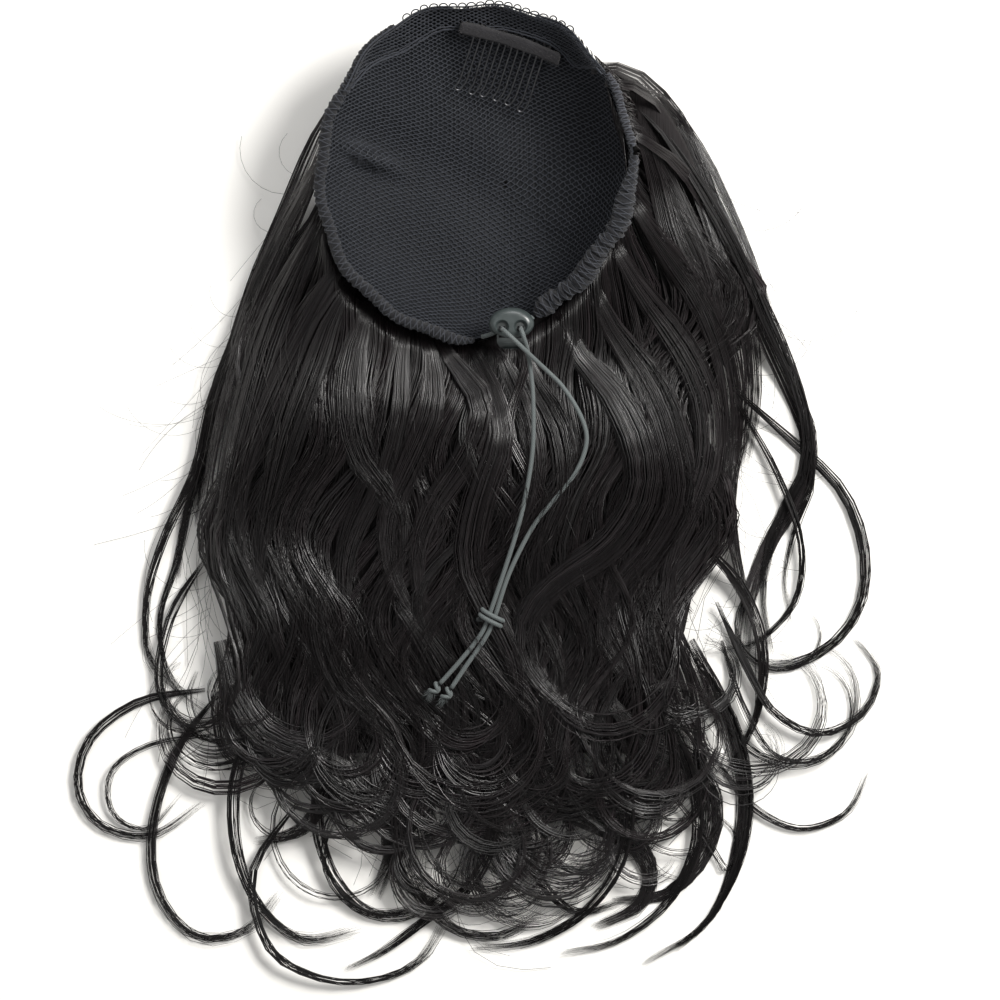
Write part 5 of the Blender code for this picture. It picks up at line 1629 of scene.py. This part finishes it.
    def build_crown_core(self) -> None:
        """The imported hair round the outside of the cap, under its strands."""
        degrees = np.arange(0, 360, 4.0)[None, :]
        deep, near_rim = self.crown_shares
        shares = np.linspace(deep, near_rim, 16)[:, None]
        swell = self.crown_swell(degrees)
        full = smoothstep((shares - deep) / 0.25) * smoothstep((near_rim - shares) / 0.10)
        pile = MeshPile()
        faces = grid_faces(len(shares), degrees.size, closed=True)
        for fill, turned in ((0.0, faces), (0.8, faces[:, ::-1])):
            grow = self.bowl.wall + (0.4 * MM + fill * swell * full)
            points = self.bowl.point(degrees, shares, grow, 3.0 * MM + 0.25 * swell)
            points[..., 2] = np.maximum(points[..., 2], 0.6 * MM)
            pile.add(points.reshape(-1, 3), turned, np.zeros((len(faces), 4, 2)))
        roots = from_pixels(((606, 82), (634, 104), (660, 142), (682, 195), (698, 250), (706, 312)))
        route = catmull(np.column_stack([roots, np.array([27, 21, 17, 15, 13, 11]) * MM]), 22)
        pile.tube(route, 9.5 * MM * np.sin(math.pi * np.linspace(0.12, 0.97, 22)) ** 0.6, 12, 0.5, 0.35)
        dress(pile.make("packed_crown", FibreBacking(name="packed crown fibre").make()), ROOT, "hair")

    def build_crown(self, fibre: bpy.types.Material) -> None:
        """The strands sewn round the outside of the cap, from the rim down to the table."""
        rng = np.random.default_rng(31)
        count, points = self.crown_strands, 12
        degrees = rng.uniform(0, 360, count)
        t = np.linspace(0, 1, points)[None, :]
        turned = (degrees - 90 + 180) % 360 - 180
        drift = np.sign(turned) * np.where(np.abs(turned) < 100, 1.0, 0.5) * rng.uniform(10, 42, count)
        waver = 3 * np.minimum(1, 2 * t) * np.sin(TURN * (t * 1.3 + rng.uniform(0, 1, (count, 1))))
        angle = degrees[:, None] + drift[:, None] * t**1.5 + waver
        share = 1.0 - 0.62 * t**1.1
        swell = self.crown_swell(degrees) * rng.uniform(0.78, 1.06, count)
        grow = (self.bowl.wall + 0.8 * MM + swell)[:, None]
        paths = self.bowl.point(angle, share, grow * smoothstep(0.25 + t * 2.2), 5.5 * MM)
        paths[..., 2] = np.maximum(paths[..., 2], 0.6 * MM)
        radii, tones = rng.uniform(0.3, 0.5, count) * MM, rng.uniform(0, 1, count)
        self.strands("crown_strands", paths, radii, tones, fibre)

    def build_base(self, fibre: bpy.types.Material) -> None:
        """The three layers of locks from the rim to the curled ends."""
        rng = np.random.default_rng(42)
        for layer, locks, per_lock, points, hook, early, thick in self.layers:
            plan, within = self.flow(rng, locks, per_lock, points, hook, early)
            plan = from_pixels(plan)
            count = len(plan)
            depth = layer.value - 0.03 + np.repeat(rng.uniform(-0.06, 0.05, locks), per_lock)
            t = np.linspace(0, 1, plan.shape[1])[None, :]
            rise = np.repeat(rng.uniform(0.3, 7.5, locks), per_lock)[:, None] * MM
            arch = rise * np.sin(math.pi * np.clip((t - 0.55) / 0.45, 0, 1)) ** 1.5
            round_lock = 1.8 * MM * (1 - within[:, None] ** 2) * rng.uniform(0.2, 1, (count, 1))
            paths = self.lay(plan, depth, arch + round_lock - 2.2 * MM * (1 - t), True)
            tone = np.clip(np.repeat(rng.uniform(0, 0.8, locks), per_lock) + rng.normal(0, 0.25, count), 0, 1)
            self.strands(f"{layer.name.lower()}_locks", paths, rng.uniform(*thick, count) * MM, tone, fibre)

    def build_tufts(self, fibre: bpy.types.Material) -> None:
        """The locks that show, from the photograph."""
        rng = np.random.default_rng(7)
        groups = {"left": LEFT_TUFTS, "middle": MIDDLE_TUFTS, "right": RIGHT_TUFTS}
        for name, tufts in groups.items():
            pile = MeshPile()
            for tuft in tufts:
                points = max(13, 2 * len(tuft.route) + 1)
                plan, lift = self.tuft_paths(tuft, rng, points)
                start = tuft.route[0]
                at_rim = min(math.hypot(start[0] - x, start[1] - y) for _, x, y in self.start_px) < 45
                paths = self.lay(plan, np.ones(tuft.strands), lift, at_rim)
                fade = self.taper(points, 0.35, 7, 5, 0.14)
                base_tone = rng.uniform(0.25, 0.6)
                for path in paths:
                    tone = float(np.clip(base_tone + rng.normal(0, 0.22), 0, 1))
                    pile.tube(path, tuft.thick * MM * rng.uniform(0.6, 1.15) * fade, 3, tone)
            dress(pile.make(f"locks_{name}", fibre), ROOT, "hair")

    def build_curls(self, fibre: bpy.types.Material) -> None:
        """The thin curls that lie on the table round the edge."""
        rng = np.random.default_rng(19)
        points = 19
        pile = MeshPile()
        t = np.linspace(0, 1, points)
        for tuft in CURLS + self.small_hooks(rng):
            plan, _ = self.tuft_paths(tuft, rng, points)
            scale = rng.normal(0, 0.011, (tuft.strands, 1, 1))
            plan = plan + (plan - plan.mean(1, keepdims=True)) * scale * t[None, :, None] * 2.2
            high = rng.uniform(0.5, 7) * MM * np.sin(math.pi * np.clip(t * 1.2, 0, 1))[None, :] * tuft.lift
            high = high - 3 * MM * (1 - smoothstep(t * 5))[None, :]
            lift = high + rng.uniform(0.0, 1.6, (tuft.strands, 1)) * MM
            paths = self.lay(plan, np.full(tuft.strands, 0.95), lift, False)
            fade = self.taper(points, 0.2, 7, 4, 0.16)
            base_tone = rng.uniform(0, 0.7)
            for path in paths:
                tone = float(np.clip(base_tone + rng.normal(0, 0.25), 0, 1))
                pile.tube(path, tuft.thick * MM * rng.uniform(0.6, 1.2) * fade, 3, tone)
        dress(pile.make("edge_curls", fibre), ROOT, "hair")

    def small_hooks(self, rng: np.random.Generator) -> tuple:
        """Thin hooks between the big ones along the lower fringe.

        Returns:
            One tuft for each hook.
        """
        hooks = []
        for k in range(self.fringe_hooks):
            share = (k + rng.uniform(0, 1)) / self.fringe_hooks
            x = 190 + 560 * share
            y = 800 - 190 * abs(2 * share - 1) ** 2.2 + rng.uniform(-60, 60)
            radius = rng.uniform(30, 72)
            way = 1 if rng.uniform() < 0.68 else -1
            heading = rng.uniform(-0.7, 0.5)
            route = [(x, y)]
            for step in range(9):
                far = radius * (1.15 - 0.06 * step) * 0.5
                x, y = x + math.sin(heading) * far, y + math.cos(heading) * far
                heading += way * 0.5
                route.append((x, y))
            held = tuple(map(tuple, self.hold(np.asarray(route))))
            hooks.append(Tuft(held, rng.uniform(4, 9), 7, 0.17))
        return tuple(hooks)

    def loose_hair(
        self, pile: MeshPile, route: np.ndarray, lift: np.ndarray, thick: float, tone: float
    ) -> None:
        """Lays one single hair along a route in pixels; its radius is in millimetres."""
        path = self.lay(from_pixels(route)[None], np.ones(1), lift[None], False)[0]
        pile.tube(path, thick * MM, 3, float(tone))

    def build_flyaways(self, fibre: bpy.types.Material) -> None:
        """Single loose hairs over the locks and beside the outline."""
        rng = np.random.default_rng(23)
        flow, _ = self.flow(rng, 105, 4, 19, 12, 0)
        pile = MeshPile()
        count = 12
        for row in flow:
            begin = rng.integers(2, 15)
            piece = row[begin : begin + rng.integers(8, 14)]
            t = np.linspace(0, 1, len(piece))
            outer = abs(piece[0, 0] - 470) / 250
            away = rng.normal(0, 10 + 22 * outer) * t + rng.normal(0, 8) * np.sin(4 * t + rng.uniform(0, 6))
            piece = self.hold(piece + np.stack([away, rng.normal(0, 6) * t], -1))
            lift = rng.uniform(0.8, 3.4) * MM * np.sin(math.pi * np.linspace(0.15, 0.9, count))
            self.loose_hair(pile, catmull(piece, count), lift, rng.uniform(0.08, 0.14), rng.uniform(0.4, 1))
        for edge, way in ((self.left_px, -1), (self.right_px, 1)):
            rows = np.asarray(edge)
            for y in rng.uniform(150, 640, self.side_hairs):
                x = np.interp(y, rows[:, 0], rows[:, 1]) - way * 12
                heading, bend = way * rng.uniform(0.1, 1.2), rng.normal(0, 0.14)
                far = rng.uniform(5, 13)
                route = [(x, y)]
                for _ in range(11):
                    x, y = x + math.sin(heading) * far, y + math.cos(heading) * far
                    heading += bend
                    route.append((x, y))
                lift = rng.uniform(1, 6) * MM * np.linspace(0.3, 1, len(route))
                held = self.hold(np.asarray(route))
                self.loose_hair(pile, held, lift, rng.uniform(0.07, 0.11), rng.uniform(0.3, 0.9))
        dress(pile.make("loose_hairs", fibre), ROOT, "hair")


LEFT_TUFTS = (
    Tuft(((352, 285), (330, 320), (310, 370), (290, 430), (275, 490), (262, 550), (258, 610)), 38, 88),
    Tuft(((372, 305), (356, 345), (350, 400), (362, 455), (393, 500), (400, 550), (385, 610)), 36, 88),
    Tuft(((405, 325), (398, 370), (392, 420), (375, 480), (350, 540), (345, 600), (370, 660)), 34, 80),
    Tuft(((328, 150), (305, 195), (275, 255), (248, 320), (225, 385), (210, 450), (200, 520)),
         24, 72, spread=0.3),
    Tuft(((325, 215), (300, 265), (272, 330), (250, 400), (232, 470), (222, 540), (235, 600), (262, 650)),
         34, 88),
    Tuft(((345, 95), (322, 135), (303, 180), (280, 235), (256, 290), (236, 350), (222, 420)),
         24, 56, spread=0.3),
    Tuft(((345, 262), (318, 300), (290, 352), (265, 412), (245, 470), (240, 530), (252, 590)), 30, 72),
    Tuft(((225, 515), (236, 560), (262, 607), (282, 657), (285, 710)), 26, 56),
    Tuft(((222, 640), (236, 690), (262, 732), (312, 757), (362, 782), (387, 812), (392, 850), (378, 890)),
         40, 96),
    Tuft(((300, 640), (330, 690), (345, 740), (330, 790), (300, 830), (262, 840)), 28, 64),
    Tuft(((330, 560), (318, 620), (335, 680), (375, 720), (392, 765), (372, 805), (335, 815)), 30, 64),
)
MIDDLE_TUFTS = (
    Tuft(((425, 333), (432, 365), (430, 410), (412, 460), (392, 510), (390, 560), (410, 610), (440, 650)),
         30, 80),
    Tuft(((440, 338), (452, 360), (483, 405), (468, 455), (435, 505), (418, 555), (425, 610), (452, 655)),
         28, 80),
    Tuft(((470, 345), (492, 390), (500, 440), (480, 500), (470, 560), (490, 610), (515, 660), (518, 710),
         (495, 750), (452, 772), (415, 765)), 36, 100, 0.2, 1.4),
    Tuft(((520, 345), (535, 385), (560, 430), (565, 490), (545, 540), (540, 600), (560, 650)), 30, 80),
    Tuft(((495, 345), (512, 380), (530, 430), (535, 480), (520, 530), (505, 580)), 26, 64),
    Tuft(((395, 600), (430, 650), (455, 700), (445, 750), (410, 790), (390, 830), (400, 880), (440, 905)),
         30, 80),
    Tuft(((470, 765), (525, 790), (580, 812), (627, 837), (650, 870), (640, 905), (600, 925)), 30, 80),
)
RIGHT_TUFTS = (
    Tuft(((560, 315), (578, 355), (612, 395), (637, 445), (640, 495), (610, 545), (560, 580), (530, 612),
         (525, 652), (550, 692), (592, 722), (637, 757), (652, 797)), 40, 112, 0.21, 1.5),
    Tuft(((590, 285), (612, 330), (650, 385), (672, 440), (680, 500), (652, 553), (617, 590), (605, 632),
         (625, 672), (662, 712), (690, 765)), 36, 104),
    Tuft(((610, 240), (640, 290), (680, 345), (705, 400), (708, 460), (690, 515), (672, 560), (668, 610),
         (690, 660), (712, 715)), 32, 88),
    Tuft(((628, 200), (660, 245), (700, 300), (725, 360), (735, 430), (728, 490), (735, 550), (748, 610)),
         28, 72),
    Tuft(((618, 116), (638, 132), (660, 168), (683, 215), (704, 262), (722, 318), (738, 370)),
         20, 44, spread=0.3),
    Tuft(((590, 72), (622, 72), (652, 92), (682, 137), (708, 205), (730, 275), (748, 340), (752, 400),
         (742, 460)), 26, 77, spread=0.3),
    Tuft(((616, 126), (638, 134), (655, 175), (672, 240), (700, 300), (722, 360), (732, 425), (726, 490)),
         26, 72, spread=0.2),
    Tuft(((622, 132), (675, 165), (712, 215), (740, 275), (765, 335), (790, 390), (808, 440), (800, 490),
         (770, 540), (748, 600), (742, 660)), 20, 64, spread=0.3),
    Tuft(((604, 86), (652, 96), (698, 153), (735, 230), (762, 300), (778, 360)), 18, 48, spread=0.3),
    Tuft(((600, 690), (640, 735), (690, 765), (712, 810), (700, 860), (665, 895), (620, 900)), 28, 72),
    Tuft(((690, 640), (715, 690), (735, 745), (745, 800), (735, 860), (712, 915), (680, 945)), 18, 48),
)
CURLS = (
    Tuft(((606, 98), (645, 112), (692, 175), (735, 250), (768, 325), (800, 398), (806, 465), (776, 525),
         (762, 590), (770, 640)), 13, 44),
    Tuft(((690, 190), (742, 262), (778, 330), (806, 412), (812, 480), (795, 528), (784, 580), (790, 610)),
         8, 22),
    Tuft(((728, 385), (792, 440), (842, 490), (864, 548), (860, 606), (826, 650), (772, 668), (728, 640)),
         9, 30, 0.2),
    Tuft(((735, 400), (775, 470), (800, 540), (795, 600), (760, 640), (722, 650)), 8, 22, 0.2),
    Tuft(((716, 602), (748, 670), (774, 712), (818, 734), (862, 714), (878, 672), (856, 640)), 8, 24, 0.2),
    Tuft(((716, 758), (752, 806), (800, 828), (846, 812), (868, 772)), 7, 18, 0.18),
    Tuft(((700, 540), (742, 590), (762, 650), (756, 715), (728, 770)), 12, 36, 0.22),
    Tuft(((722, 640), (740, 700), (770, 752), (815, 760), (850, 730)), 6, 14, 0.18),
    Tuft(((330, 160), (300, 205), (268, 265), (240, 330), (214, 395), (202, 465), (184, 525), (180, 570)),
         13, 44),
    Tuft(((240, 330), (212, 400), (196, 470), (166, 535), (147, 600), (150, 660), (180, 690)), 10, 34),
    Tuft(((232, 350), (214, 420), (190, 500), (178, 560), (160, 620), (172, 680), (210, 712)), 8, 24),
    Tuft(((205, 560), (170, 620), (160, 690), (196, 735), (240, 745)), 9, 26),
    Tuft(((205, 690), (140, 702), (92, 738), (79, 786), (102, 824), (152, 834), (196, 806)), 8, 24, 0.2),
    Tuft(((214, 735), (150, 745), (112, 772), (113, 812), (146, 828), (176, 800)), 6, 14, 0.16),
    Tuft(((222, 690), (176, 752), (152, 828), (158, 892), (196, 936), (246, 930), (276, 896)), 9, 28, 0.2),
    Tuft(((270, 700), (238, 770), (236, 842), (258, 902), (302, 938), (352, 930)), 12, 36),
    Tuft(((300, 800), (252, 872), (268, 948), (318, 978), (372, 981), (420, 962), (446, 922)), 9, 28, 0.2),
    Tuft(((345, 730), (318, 800), (330, 868), (372, 912), (424, 905)), 13, 38),
    Tuft(((410, 740), (398, 815), (410, 878), (448, 925), (500, 935), (540, 912)), 13, 38),
    Tuft(((480, 750), (494, 822), (474, 880), (428, 918), (388, 948), (352, 966)), 12, 34),
    Tuft(((540, 740), (524, 812), (536, 872), (574, 910), (624, 900)), 12, 34),
    Tuft(((600, 720), (628, 795), (620, 862), (584, 912), (532, 940), (480, 946)), 12, 34),
    Tuft(((655, 700), (690, 770), (696, 842), (668, 902), (618, 940), (566, 952)), 11, 32),
    Tuft(((690, 650), (734, 722), (748, 800), (736, 868), (702, 926), (648, 960)), 10, 30),
    Tuft(((660, 780), (700, 830), (728, 870), (735, 835), (712, 812)), 6, 12, 0.16),
)


def build_bands(bowl: Bowl) -> None:
    """Makes the three bands along the rim."""
    net = SpunThread(name="overcast net thread", dark="1b1c20", light="3a3d45")
    RimBand(
        name="overcast_rim", node="rim_casing_left", start=268, end=122, radius=2.45 * MM, gathers=44,
        gather_depth=0.2, wraps=4, wrap_pitch=5.6 * MM, wrap_radius=0.24 * MM, bowl=bowl,
        cloth=WovenTape(name="rim net cloth", dark="101013", light="212226"), wrap=net,
    ).build()
    RimBand(
        name="gathered_casing", node="rim_casing_right", start=-67, end=6, radius=4.2 * MM, gathers=17,
        gather_depth=0.26, wraps=6, wrap_pitch=7.4 * MM, wrap_radius=0.24 * MM, bowl=bowl,
        cloth=WovenTape(name="casing net cloth", dark="111114", light="232428"), wrap=net,
    ).build()
    RimBand(
        name="stitched_weft", node="weft_strip", start=9, end=36, radius=1.75 * MM, gathers=12,
        gather_depth=0.1, wraps=3, wrap_pitch=2.6 * MM, wrap_radius=0.26 * MM, bowl=bowl,
        cloth=WovenTape(name="weft tape", dark="141417", light="29292e"),
        wrap=SpunThread(name="overlock thread", dark="232429", light="4a4d55"),
    ).build()


def main() -> None:
    """Builds the scene, piece by piece."""
    logging.basicConfig(level=logging.INFO, format="%(message)s")
    bowl = Bowl()
    Studio().build()
    Drawstring().build()
    NetCap(bowl).build()
    build_bands(bowl)
    Comb(bowl).build()
    CordLock().build()
    Hair(bowl).build()


if __name__ == "__main__":
    main()
